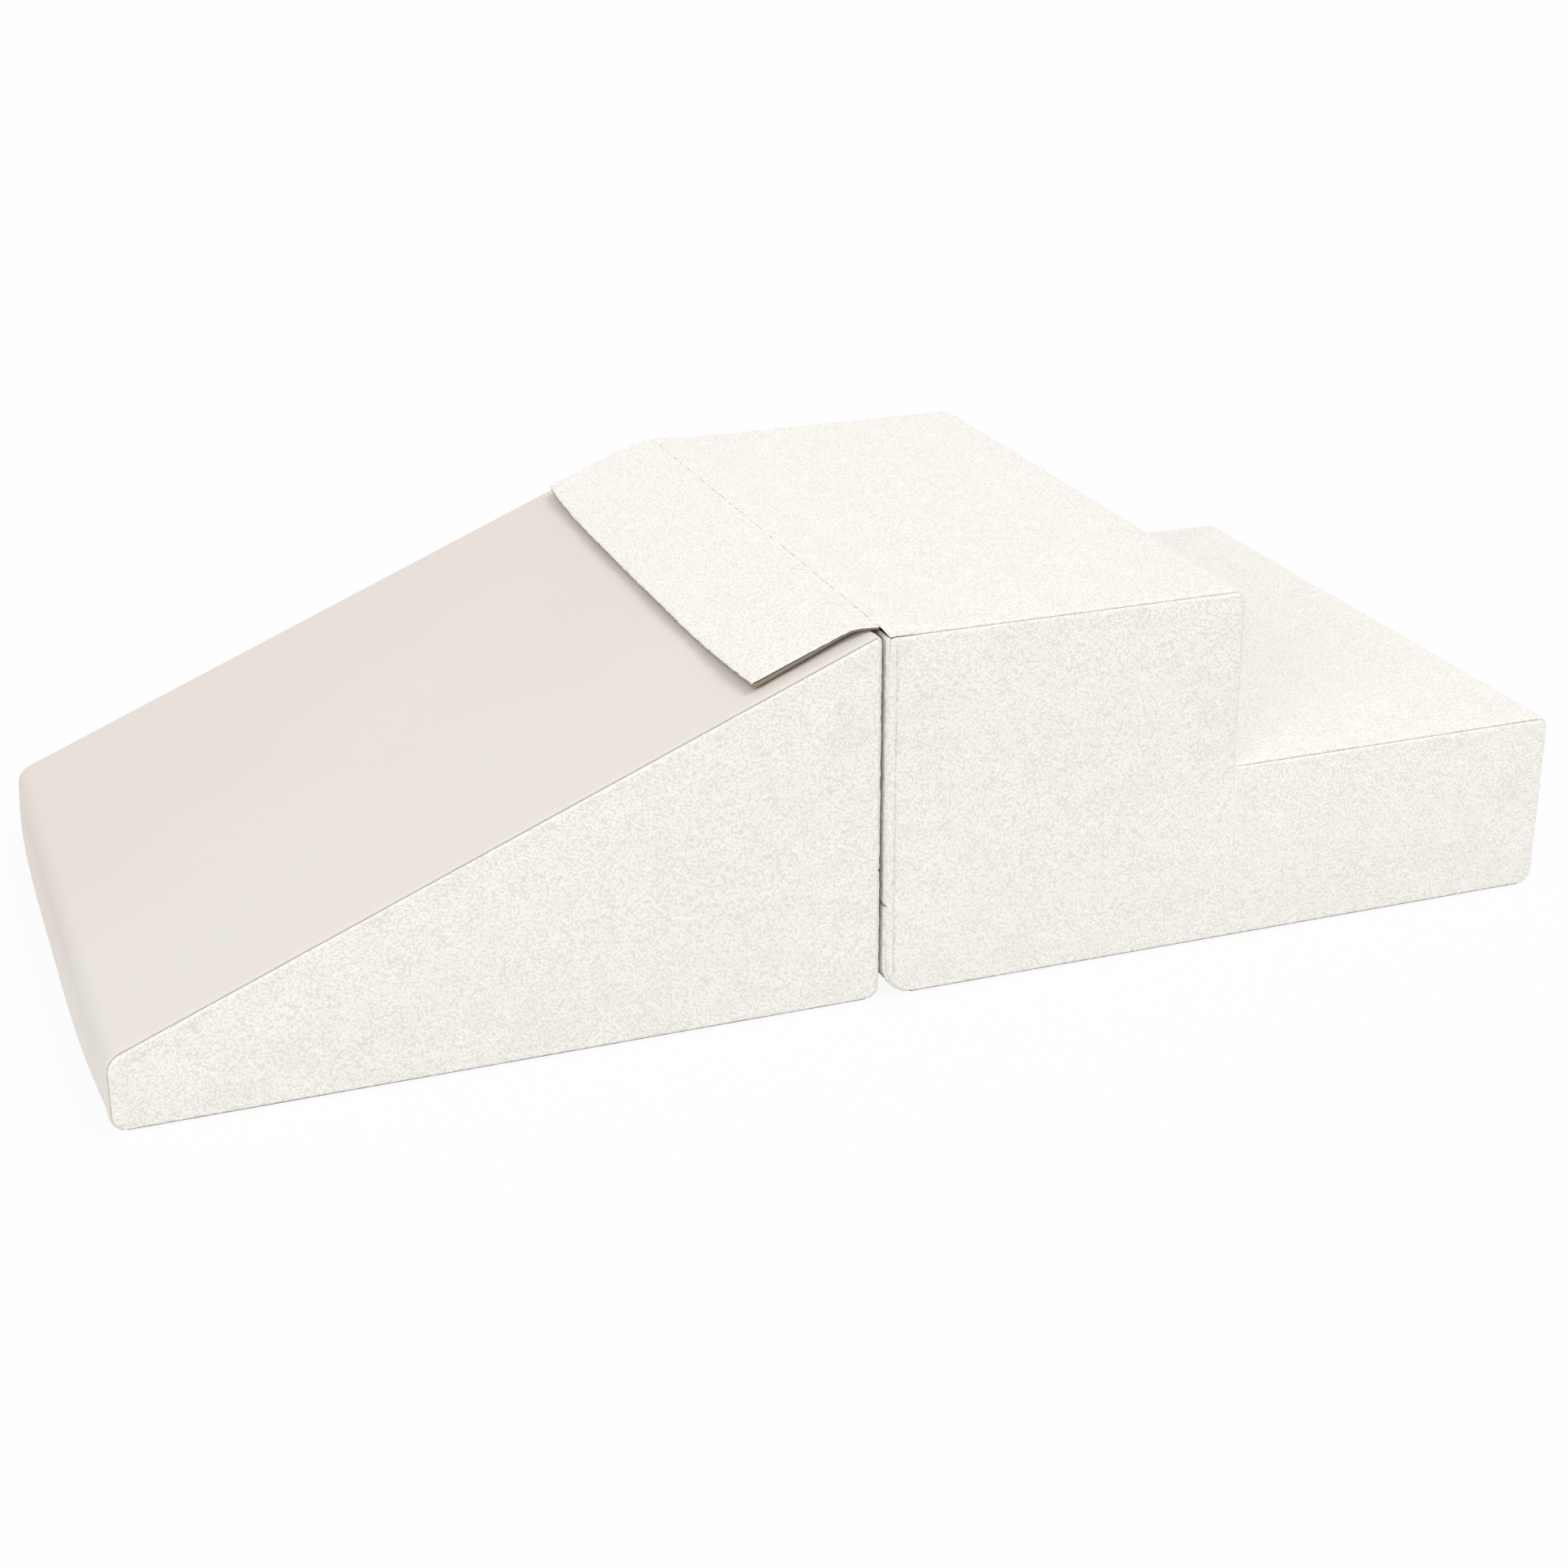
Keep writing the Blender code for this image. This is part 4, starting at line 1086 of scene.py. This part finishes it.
def slider_mesh(name, facing, low, high):
    """A zip slider between two corners: waisted top plate, walls over the coils and flat bridge."""
    made = bmesh.new()
    half_length, half_width = (high.y - low.y) / 2, (high.z - low.z) / 2
    loop = SLIDER_OUTLINE + tuple((y, -z) for y, z in SLIDER_OUTLINE[::-1])
    lofted(made, [[(x, y * half_length, z * half_width) for y, z in loop] for x in (0, -SLIDER_PLATE)])
    wall_end = SLIDER_WALL_SHARE * half_length
    for side in (-1, 1):
        outer, inner = side * half_width, side * (half_width - SLIDER_WALL)
        corners = ((0, outer), (0, inner), (1, inner), (1, outer))
        wall = [(-SLIDER_WALL - x * SLIDER_PLATE, z) for x, z in corners]
        lofted(made, [[(x, y, z) for x, z in wall] for y in (-wall_end, wall_end)])
    arch = []
    for angle in np.linspace(0, math.pi, BRIDGE_PARTS):
        ring = []
        for thick, z in ((0, 1), (1, 1), (1, -1), (0, -1)):
            x = (BRIDGE_RISE + thick * BRIDGE_THICKNESS) * math.sin(angle) - BRIDGE_SUNK
            y = -(BRIDGE_REACH + thick * BRIDGE_THICKNESS) * math.cos(angle)
            ring.append((x, y, z * BRIDGE_HALF_WIDTH))
        arch.append(ring)
    lofted(made, arch)
    middle = (low + high) / 2
    middle.x = high.x if facing > 0 else low.x
    turned = Matrix.Translation(middle) @ Matrix.Diagonal((facing, 1, 1, 1))
    bmesh.ops.transform(made, matrix=turned, verts=made.verts)
    bmesh.ops.recalc_face_normals(made, faces=made.faces)
    return rounded_mesh(name, made, SLIDER_EDGE)


def zip_pieces(prefix, profile, zip_height, facing):
    """Tapes, coils, slider and topstitching of a module's zip."""
    body = f"{prefix}_module"
    for label, side, slot in (("upper", 1, "slot_head"), ("lower", -1, "slot_foot")):
        coil_low, coil_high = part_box(f"{prefix}_zip_coil_{label}")
        cover = bpy.data.objects[f"{prefix}_back_cover_{label}"]
        first, last = sorted((slot, "slot_middle"), key=lambda corner: profile.corners[corner])
        tape = wrapped_panel(
            f"{prefix}_zip_cloth_{label}",
            profile,
            (first, 0),
            (last, 0),
            tape_cloth,
            SLOPE_SPACING,
            recess=TAPE_DEPTH,
            thickness=TAPE_THICKNESS,
            reach=ZIP_END[1],
            rolled=NONE_ROLLED,
        )
        sewn_in(tape, body, "zip_tape", f"{prefix}_zip_tape_{label}")
        middle = (coil_low + coil_high) / 2
        length = min(coil_high.y - coil_low.y, 2 * ZIP_END[1])
        name = f"{prefix}_zip_teeth_{label}"
        teeth = patterned(name, coil, teeth_pattern, x=middle.x, z=middle.z, length=length)
        if label == "upper":
            for v in teeth.data.vertices:
                v.co.y += TOOTH_PITCH / 2
        sewn_in(teeth, body, "zip_coil", f"{prefix}_zip_coil_{label}")
        height = zip_height + side * (ZIP_SLOT / 2 + STITCH_INSET)
        across = np.arange(-HALF_FLAT, HALF_FLAT, SLOPE_SPACING)
        face = coil_low.x if facing > 0 else coil_high.x
        line = np.stack([0 * across + face, across, 0 * across + height], -1)
        stitched(f"{prefix}_zip_stitches_{label}", body, "zip_tape", cover, line, Vector((facing, 0, 0)))
    name = f"{prefix}_zip_slider"
    slider = new_piece(f"{name}_cast", slider_mesh(f"{name}_cast", facing, *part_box(name)), nickel)
    sewn_in(slider, name, "zip_slider", name)


tape_cloth = woven_finish("zip_tape", TAPE_COLOR, TAPE_LIT_YARN, TAPE_YARN, relief=0.00008, roughness=0.8)
coil = nylon_finish("zip_coil", COIL_COLOR, COIL_PAINTED_SHADE, size=0.0008, roughness=0.35)
thread = nylon_finish("thread", THREAD_COLOR, THREAD_PAINTED_SHADE, size=0.0004, roughness=0.6)
nickel = nickel_finish()
teeth_pattern = zip_teeth(coil)
stitch_pattern = stitch_rows(thread)
zip_pieces("slide", slide_profile, SLIDE_ZIP_HEIGHT, 1)

# Loop tape
# A strip of soft loop tape is stitched across the slope, under the flap's hook tape.
LOOP_THICKNESS = 0.0008
LOOP_LIFT = 0.0002
LOOP_DENSITY = 260000
LOOP_RADIUS = 0.00045
LOOP_WIRE = 0.00007
LOOP_SIDES = (7, 4)
LOOP_START = -40
LOOP_BEND = 200.0
LOOP_SEED = 11
PILE_YARN = 0.0006
LOOP_COLOR = (0.760, 0.700, 0.620)
# The lighter loop tape colour is painted light on the yarns where they cross over.
LOOP_LIT_YARN = (0.830, 0.780, 0.710)
GRIP_SPACING = 0.004


def tape_pile(name, material, seed):
    """Small bent wires that stand all over the face of a tape."""
    sizes = {"density": LOOP_DENSITY, "radius": LOOP_RADIUS, "wire": LOOP_WIRE, "bend": LOOP_BEND}
    pattern = Pattern(name, **sizes)
    tape = pattern.given("Geometry")
    density = pattern.nap() * pattern.given("density")
    spread = pattern.node("GeometryNodeDistributePointsOnFaces", Mesh=tape, Density=density, Seed=seed)
    arc_parts, sides = LOOP_SIDES
    sweep = {"Start_Angle": math.radians(LOOP_START), "Sweep_Angle": pattern.given("bend") * math.pi / 180}
    size = {"Resolution": arc_parts, "Radius": pattern.given("radius")}
    arc = pattern.node("GeometryNodeCurveArc", mode="RADIUS", **size, **sweep)
    size = {"Resolution": sides, "Radius": pattern.given("wire")}
    ring = pattern.node("GeometryNodeCurvePrimitiveCircle", **size)
    bent = pattern.node("GeometryNodeCurveToMesh", arc, ring, Fill_Caps=True)
    upright = pattern.node("GeometryNodeTransform", bent, Rotation=(math.pi / 2, 0, 0))
    whole = {"Max": 2 * math.pi, "Seed": seed}
    turn = pattern.node("FunctionNodeRandomValue", data_type="FLOAT", output="Value", **whole)
    twist = {"Rotation": spread.beside("Rotation"), "Rotate_By": pattern.point(Z=turn)}
    turned = pattern.node("FunctionNodeRotateRotation", rotation_space="LOCAL", **twist)
    pile = pattern.on_points(spread, upright, Rotation=turned)
    return pattern.finished(pattern.joined(tape, pile), material)


loop_low, loop_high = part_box("slide_loop_strip")
loop_tape = woven_finish("loop_tape", LOOP_COLOR, LOOP_LIT_YARN, PILE_YARN)
pile_pattern = tape_pile("loop_pile", loop_tape, LOOP_SEED)


def slope_distance(x):
    """How far along the slide's outline the slope is at this x."""
    start, arc = slide_profile.corners["ridge"]
    (end_x, _), _, _ = slide_profile.at(np.array(start + arc))
    return start + arc + (end_x - x) / slope_normal.z


def straight_strip(name, profile, first, last, reach, material, thickness, recess, shape):
    """A tape between two distances along a profile, with its outer face this deep."""
    profile.mark("strip_start", first)
    profile.mark("strip_end", last)
    return wrapped_panel(
        name,
        profile,
        ("strip_start", 0),
        ("strip_end", 0),
        material,
        GRIP_SPACING,
        reach=reach,
        recess=recess,
        thickness=thickness,
        rolled=NONE_ROLLED,
        shape=shape,
    )


def laid_on_slope(points):
    """Lifts the straight tape onto the puffed slope under it."""
    out = np.array(slope_normal)
    puffed = (laid_on(slope, points, slope_normal).reshape(-1, 3) - slope_head) @ out
    return points + (puffed + LOOP_LIFT)[:, None] * out


slope_run = Vector((slide_toe - slide_back, 0, TOE_HEIGHT - RIDGE_HEIGHT))
slope_normal = slope_run.cross(Vector((0, 1, 0))).normalized()
slope_normal *= math.copysign(1, slope_normal.z)
slope_head = np.array((slide_back, 0, RIDGE_HEIGHT))
loop_strip = straight_strip(
    "slide_loop_tape",
    slide_profile,
    slope_distance(loop_high.x),
    slope_distance(loop_low.x),
    (loop_high.y - loop_low.y) / 2,
    loop_tape,
    LOOP_THICKNESS,
    -LOOP_THICKNESS,
    laid_on_slope,
)
worked(loop_strip, pile_pattern)
sewn_in(loop_strip, "slide_module", "loop_tape", "slide_loop_strip")

# Step covers
# The step block has the same boucle all over: two L-shaped sides and five panels from the base at
# the front over the tread and the top to the base at the back, with a zip in the back.
TREAD_HEIGHT = 0.156
STEP_HEIGHT = 0.306
STEP_ZIP_HEIGHT = 0.080
STEP_FOOT_ROUND = 0.028
STEP_EDGE_ROUND = 0.010
FLAP_SEAM_ROUND = 0.0056
RISER_FOOT_ROUND = 0.003
FRONT_FOOT_ROUND = 0.014
FACE_CROWN = 0.003
RISER_CROWN = 0.002
SEAM_FILL = 0.0012
STEP_CREASE = 0.0095
LAYER_GAP = 0.0003
CLOSED_GAP = 0.0004
FLUSH_REACH = (0.011, 0.060)
FLUSH_DROP = 0.00005
FLUSH_SIDE = (0.279, 0.289)
TOP_LAP = 0.0045
LAP_REACH = (0.006, 0.040)

base_low, base_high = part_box("step_foam_base_block")
step_back = base_low.x - FOAM_DEPTH
step_front = base_high.x + FOAM_DEPTH
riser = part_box("step_foam_top_block")[1].x + FOAM_DEPTH
step_profile = Profile(
    {
        "foot": (step_back, 0, STEP_FOOT_ROUND, 0),
        "front_foot": (step_front, 0, FRONT_FOOT_ROUND, 0),
        "tread_edge": (step_front, TREAD_HEIGHT, STEP_EDGE_ROUND, 0),
        "riser_foot": (riser, TREAD_HEIGHT, RISER_FOOT_ROUND, 0),
        "top_edge": (riser, STEP_HEIGHT, STEP_EDGE_ROUND, 0),
        "flap_seam": (step_back, STEP_HEIGHT, FLAP_SEAM_ROUND, 0),
        "slot_head": (step_back, STEP_ZIP_HEIGHT + ZIP_SLOT / 2, 0, 0),
        "slot_middle": (step_back, STEP_ZIP_HEIGHT, 0, 0),
        "slot_foot": (step_back, STEP_ZIP_HEIGHT - ZIP_SLOT / 2, 0, 0),
    }
)
seam_start, seam_arc = step_profile.corners["flap_seam"]
filled_seam = (seam_start + seam_arc / 2, seam_arc / 2, SEAM_FILL)
step_back_run = (seam_start + seam_arc, step_profile.length)
for label, side in (("near", -1), ("far", 1)):
    name = f"step_side_cover_{label}"
    panel = side_panel(name, step_profile, side, SIDE_CROWN, boucle, STEP_CREASE, step_back_run)
    boucle_piece(panel, "step_module", f"step_side_panel_{label}")


def flush_with_flap(points):
    """Fills the top up to the flap's height where the flap is sewn in, and fades to nothing."""
    moved = points.copy()
    share = np.interp(points[:, 0], FLUSH_REACH, (1, 0))
    share = eased(share * np.interp(np.abs(points[:, 1]), FLUSH_SIDE, (1, 0)))
    round_part = np.clip(step_back + FLAP_SEAM_ROUND - points[:, 0], 0, FLAP_SEAM_ROUND)
    unfilled = STEP_HEIGHT - FLAP_SEAM_ROUND + np.sqrt(FLAP_SEAM_ROUND**2 - round_part**2)
    sunk = np.clip(unfilled - SEAM_DEPTH - points[:, 2], 0, None)
    moved[:, 2] += (flap_top - FLUSH_DROP - sunk - points[:, 2]) * share
    moved[:, 0] -= TOP_LAP * share * np.interp(points[:, 0], LAP_REACH, (1, 0))
    return moved


root_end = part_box("flap_face_panel")[1]
flap_top = root_end.z
step_shapes = {
    "step_top_cover": flush_with_flap,
    "step_back_cover_upper": zip_ends_closed(STEP_ZIP_HEIGHT),
    "step_back_cover_lower": zip_ends_closed(STEP_ZIP_HEIGHT),
}
for node, first, last, crown in (
    ("step_front_panel", ("front_foot", 1 - FOOT_SEAM_SHARE), ("tread_edge", 0.5), FACE_CROWN),
    ("step_tread_panel", ("tread_edge", 0.5), ("riser_foot", 0.5), FACE_CROWN),
    ("step_riser_panel", ("riser_foot", 0.5), ("top_edge", 0.5), RISER_CROWN),
    ("step_top_panel", ("top_edge", 0.5), ("flap_seam", 0.5), FACE_CROWN),
    ("step_back_panel_upper", ("flap_seam", 0.5), ("slot_head", 0), BACK_CROWN),
    ("step_back_panel_lower", ("slot_foot", 0), ("foot", FOOT_SEAM_SHARE), BACK_CROWN),
):
    name = node.replace("panel", "cover")
    closed = "back" in name
    panel = wrapped_panel(
        name,
        step_profile,
        first,
        last,
        *boucle_cut,
        crown=crown,
        rolled=(True, True, not closed),
        reach=step_profile.half_across + closed * CLOSED_GAP,
        fuller=filled_seam if name == "step_back_cover_upper" else None,
        shape=step_shapes.get(name),
    )
    boucle_piece(panel, "step_module", node)
base_cloth_pieces("step", step_profile, ("foot", FOOT_SEAM_SHARE), ("front_foot", 1 - FOOT_SEAM_SHARE))
zip_pieces("step", step_profile, STEP_ZIP_HEIGHT, -1)

# Flap
# A padded flap is sewn into the top edge of the step block and lies over the slide's ridge. It has
# a boucle face that rolls over its edges, a thin foam filler, a taupe lining and hook tape.
FLAP_SIDE_INSET = 0.016
FLAP_LEVEL_RUN = 0.023
FLAP_FALL_RUN = 0.0895
FLAP_KNEE_ROUND = 0.030
FLAP_THICKNESS = 0.006
FLAP_FACE_THICKNESS = 0.0018
FLAP_FILLER_THICKNESS = 0.0024
FLAP_LINING_THICKNESS = 0.0010
FLAP_EDGE_LIFT = 0.0042
FLAP_EDGE_SAG = 0.0010
FLAP_EDGE_BOW = 0.006
FLAP_ROOT_DROP = 0.0010
FLAP_ROOT_ROUND = 0.0005
ROOT_LAP = -0.0039
FLAP_TAPER_AT = (-0.105, -0.060, -0.020, 0.0)
FLAP_TAPER = (1.15, 0.90, 0.60, 0.55)
FLAP_END = (0.250, 0.270)
FLAP_END_FILL = 0.35
FLAP_FLARE_AT = (-0.030, 0.0)
FLAP_FLARE = (1.0, 1.016)
FLAP_END_ROUND = 0.002
FLAP_TURNED = 0.8
FLAP_LINING_END = 0.0038
FLAP_LINING_TURNED = 0.95
FLAP_SPACING = 0.0019
FLAP_CROWN = 0.0006
FLAP_RIPPLE = 0.0005
FLAP_RIPPLE_LENGTH = 0.16
FLAP_RIPPLE_PHASE = 1
TOP_LINE_STOPS = 60
FILLER_INSET = 0.004
FLAP_INNER_SPACING = 0.008
FILLER_ROUND = 0.0005
LINING_CLOSING_HEIGHT = 1
LINING_YARN = 0.0006
LINING_COLOR = (0.290, 0.235, 0.185)
# The lighter lining colour is painted light on the yarns where they cross over.
LINING_LIT_YARN = (0.370, 0.305, 0.245)
HOOK_COLOR = (0.720, 0.670, 0.600)
# The lighter hook tape colour is painted light on the yarns where they cross over.
HOOK_LIT_YARN = (0.800, 0.760, 0.700)
HOOK_THICKNESS = 0.0007
HOOK_WIDTH = 0.028
HOOK_EDGE_INSET = 0.020
HOOK_SEED = 12
HINGE_BLEND = 0.005
HALF_FLAP = HALF_FLAT + SIDE_ROUND - FLAP_SIDE_INSET

flap_root = root_end.x + ROOT_LAP
slope_fall = Vector((slide_toe - slide_back, TOE_HEIGHT - RIDGE_HEIGHT)).normalized()
slope_out = Vector((slope_fall.y, -slope_fall.x))
knee = Vector((root_end.x - FLAP_LEVEL_RUN, flap_top))
knee_lift = (knee - Vector((0, FLAP_THICKNESS)) - Vector((slide_back, RIDGE_HEIGHT))).dot(slope_out)
settling = math.asin((knee_lift - FLAP_EDGE_LIFT) / FLAP_FALL_RUN)
flap_angle = math.atan2(-slope_fall.y, -slope_fall.x) + settling
fall = Vector((-math.cos(flap_angle), -math.sin(flap_angle)))
inward = Vector((-fall.y, fall.x))


def flap_corner(depth):
    """The knee's corner at a depth under the flap's top."""
    half = flap_angle / 2
    return knee - Vector((-math.sin(half), math.cos(half))) * depth / math.cos(half)


def flap_edge(depth, short=0.0):
    """The end of the flap's fall at a depth, this much short of the free edge."""
    return knee + inward * depth + fall * (FLAP_FALL_RUN - short)


face_profile = Profile(
    {
        "seam": (flap_root, flap_top - FLAP_ROOT_DROP, 0, 0),
        "root": (flap_root, flap_top, FLAP_ROOT_ROUND, 0),
        "knee": (*knee, FLAP_KNEE_ROUND, 0),
        "edge": (*flap_edge(0), FLAP_END_ROUND, 0),
        "under": (*flap_edge(FLAP_THICKNESS), 0, 0),
        "behind": (flap_root, flap_top - 2 * FLAP_ROOT_DROP, 0, 0),
    },
    half_flat=HALF_FLAP - FLAP_END_ROUND,
    side_round=FLAP_END_ROUND,
    turned=FLAP_TURNED,
)
top_stops = np.linspace(face_profile.seam("edge", 0), face_profile.seam("root", 1), TOP_LINE_STOPS)
top_line = face_profile.at(top_stops)[0]


def settled(points):
    """The straight flap as it lies: thinner towards its root, its free edge bowed and rippled."""
    place = points[:, (0, 2)] - np.array(knee)
    along = np.clip(place @ np.array(fall) / FLAP_FALL_RUN, 0, None)
    middle = swell(np.clip(points[:, 1] / HALF_FLAP / 2 + 0.5, 0, 1))
    ripple = np.sin(points[:, 1] * 2 * math.pi / FLAP_RIPPLE_LENGTH + FLAP_RIPPLE_PHASE)
    sag = FLAP_EDGE_SAG * along**2 * middle + FLAP_RIPPLE * along**2 * ripple
    bow = FLAP_EDGE_BOW * along * middle
    depth = np.interp(points[:, 0], *top_line) - points[:, 2]
    thick = np.interp(points[:, 0], FLAP_TAPER_AT, FLAP_TAPER)
    thick += FLAP_END_FILL * along * np.interp(np.abs(points[:, 1]), FLAP_END, (0, 1))
    moved = points.copy()
    moved[:, 1] *= np.interp(points[:, 0], FLAP_FLARE_AT, FLAP_FLARE)
    moved[:, 2] -= depth * (thick - 1)
    moved[:, (0, 2)] += bow[:, None] * np.array(slope_fall) - sag[:, None] * np.array(slope_out)
    return moved


def flap_layer(name, profile, first, last, material, spacing, jitter=0.0, crown=0.0, thickness=0.0):
    """One layer of the flap, as the flap lies."""
    return wrapped_panel(
        name,
        profile,
        first,
        last,
        material,
        spacing,
        jitter,
        crown,
        thickness=thickness,
        rolled=NONE_ROLLED,
        shape=settled,
        inner_spacing=FLAP_INNER_SPACING,
    )


face_seams = ("seam", 0), ("edge", FLAP_TURNED)
face_cut = (boucle, FLAP_SPACING, BOUCLE_JITTER, FLAP_CROWN, FLAP_FACE_THICKNESS)
flap_face = flap_layer("flap_face_cover", face_profile, *face_seams, *face_cut)
worked(flap_face, raised_nap)
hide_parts("flap_face_panel")
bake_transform(flap_face)

filler_depth = FLAP_FACE_THICKNESS + LAYER_GAP
lining_depth = filler_depth + FLAP_FILLER_THICKNESS + LAYER_GAP
filler_profile = Profile(
    {
        "root": (flap_root - HINGE_BLEND - LAYER_GAP, flap_top - filler_depth, 0, 0),
        "knee": (*flap_corner(filler_depth), FLAP_KNEE_ROUND - filler_depth, 0),
        "edge": (*flap_edge(filler_depth, FILLER_INSET), 0, 0),
        "behind": (flap_root, 0, 0, 0),
    },
    half_flat=HALF_FLAP - FILLER_INSET,
    side_round=FILLER_ROUND,
)
filler_cut = {"spacing": GRIP_SPACING, "thickness": FLAP_FILLER_THICKNESS}
flap_filler = flap_layer("flap_filler_foam", filler_profile, ("root", 0), ("edge", 0), foam, **filler_cut)
sewn_in(flap_filler, "connector_flap", "foam", "flap_filler")

lining_face = lining_depth + FLAP_LINING_THICKNESS
lining = woven_finish("lining", LINING_COLOR, LINING_LIT_YARN, LINING_YARN, relief=0.0001, roughness=0.9)
lining_profile = Profile(
    {
        "rim": (*flap_edge(FLAP_END_ROUND, LAYER_GAP), 0, 0),
        "edge": (*flap_edge(lining_face, LAYER_GAP), FLAP_LINING_END, 0),
        "knee": (*flap_corner(lining_face), FLAP_KNEE_ROUND - lining_face, 0),
        "root": (flap_root - LAYER_GAP, flap_top - lining_face, 0, 0),
        "behind": (flap_root, LINING_CLOSING_HEIGHT, 0, 0),
    },
    half_flat=HALF_FLAP - LAYER_GAP - FLAP_LINING_END,
    side_round=FLAP_LINING_END,
    turned=FLAP_LINING_TURNED,
)
lining_seams = ("edge", 1 - FLAP_LINING_TURNED), ("root", 0)
lining_cut = {"spacing": FLAP_SPACING, "thickness": FLAP_LINING_THICKNESS}
flap_lining = flap_layer("flap_lining_cloth", lining_profile, *lining_seams, lining, **lining_cut)
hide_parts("flap_lining")
lining_start, lining_end = (lining_profile.seam(*seam) for seam in lining_seams)
lining_length = lining_end - lining_start
lining_flat = (2 * lining_profile.half_across, lining_length)
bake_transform(flap_lining)

hook_low, hook_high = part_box("flap_hook_strip")
hook_tape = woven_finish("hook_tape", HOOK_COLOR, HOOK_LIT_YARN, PILE_YARN)
hook_pile = tape_pile("hook_pile", hook_tape, HOOK_SEED)
hook_start = lining_profile.seam("edge", 1) + HOOK_EDGE_INSET - FLAP_LINING_END
hook_strip = straight_strip(
    "flap_hook_tape",
    lining_profile,
    hook_start,
    hook_start + HOOK_WIDTH,
    (hook_high.y - hook_low.y) / 2,
    hook_tape,
    HOOK_THICKNESS,
    -HOOK_THICKNESS - LAYER_GAP,
    settled,
)
worked(hook_strip, hook_pile)
sewn_in(hook_strip, "connector_flap", "hook_tape", "flap_hook_strip")

# Floor and lights
# A pale floor that the camera sees as nearly white, with the object's soft shadow left on it, and a
# bright even studio with one large soft lamp.
FLOOR_SIZE = 20
FLOOR_COLOR = (0.80, 0.80, 0.80)
FLOOR_WHITE_SHARE = 0.92
WHITE = (1, 1, 1, 1)
WORLD_STRENGTH = 0.715
SUNS = {
    "key": ((0.39, -0.20, 0.90), 1.1, 25),
    "fill": ((-0.75, -0.60, 0.36), 0.74, 30),
}
floor_mesh = bpy.data.meshes.new("floor")
corners = [(x * FLOOR_SIZE, y * FLOOR_SIZE, 0) for x, y in ((-1, -1), (1, -1), (1, 1), (-1, 1))]
floor_mesh.from_pydata(corners, [], [(0, 1, 2, 3)])
floor_finish = Finish("floor", Base_Color=(*FLOOR_COLOR, 1), Roughness=0.9)


def shown_white(web, lit, white, share):
    """Mixes plain white in for rays from the camera, in a reflection or through glass."""
    camera_rays = web.node("ShaderNodeLightPath", output="Is Camera Ray")
    seen = camera_rays + camera_rays.beside("Is Glossy Ray") + camera_rays.beside("Is Transmission Ray")
    return web.node("ShaderNodeMixShader", seen * share, lit, white)


lit_floor = Wire(floor_finish, floor_finish.shader.outputs[0])
white_floor = floor_finish.node("ShaderNodeEmission", Color=WHITE, Strength=1)
mixed = shown_white(floor_finish, lit_floor, white_floor, FLOOR_WHITE_SHARE)
floor_finish.give(floor_finish.tree.nodes["Material Output"].inputs["Surface"], mixed)
floor = new_piece("floor", floor_mesh, floor_finish.material)
world = bpy.data.worlds.new("studio")
world.use_nodes = True
sky = Web(world.node_tree)
lit_sky, white_sky = (
    sky.node("ShaderNodeBackground", Color=WHITE, Strength=strength) for strength in (WORLD_STRENGTH, 1)
)
shown_sky = shown_white(sky, lit_sky, white_sky, 1)
sky.give(sky.tree.nodes["World Output"].inputs["Surface"], shown_sky)
bpy.context.scene.world = world
for name, (direction, strength, width) in SUNS.items():
    lamp = bpy.data.objects.new(name, bpy.data.lights.new(name, "SUN"))
    lamp.data.energy = strength
    lamp.data.angle = math.radians(width)
    lamp.rotation_euler = Vector(direction).to_track_quat("Z", "Y").to_euler()
    bpy.context.scene.collection.objects.link(lamp)
bpy.context.scene.view_settings.view_transform = "Standard"
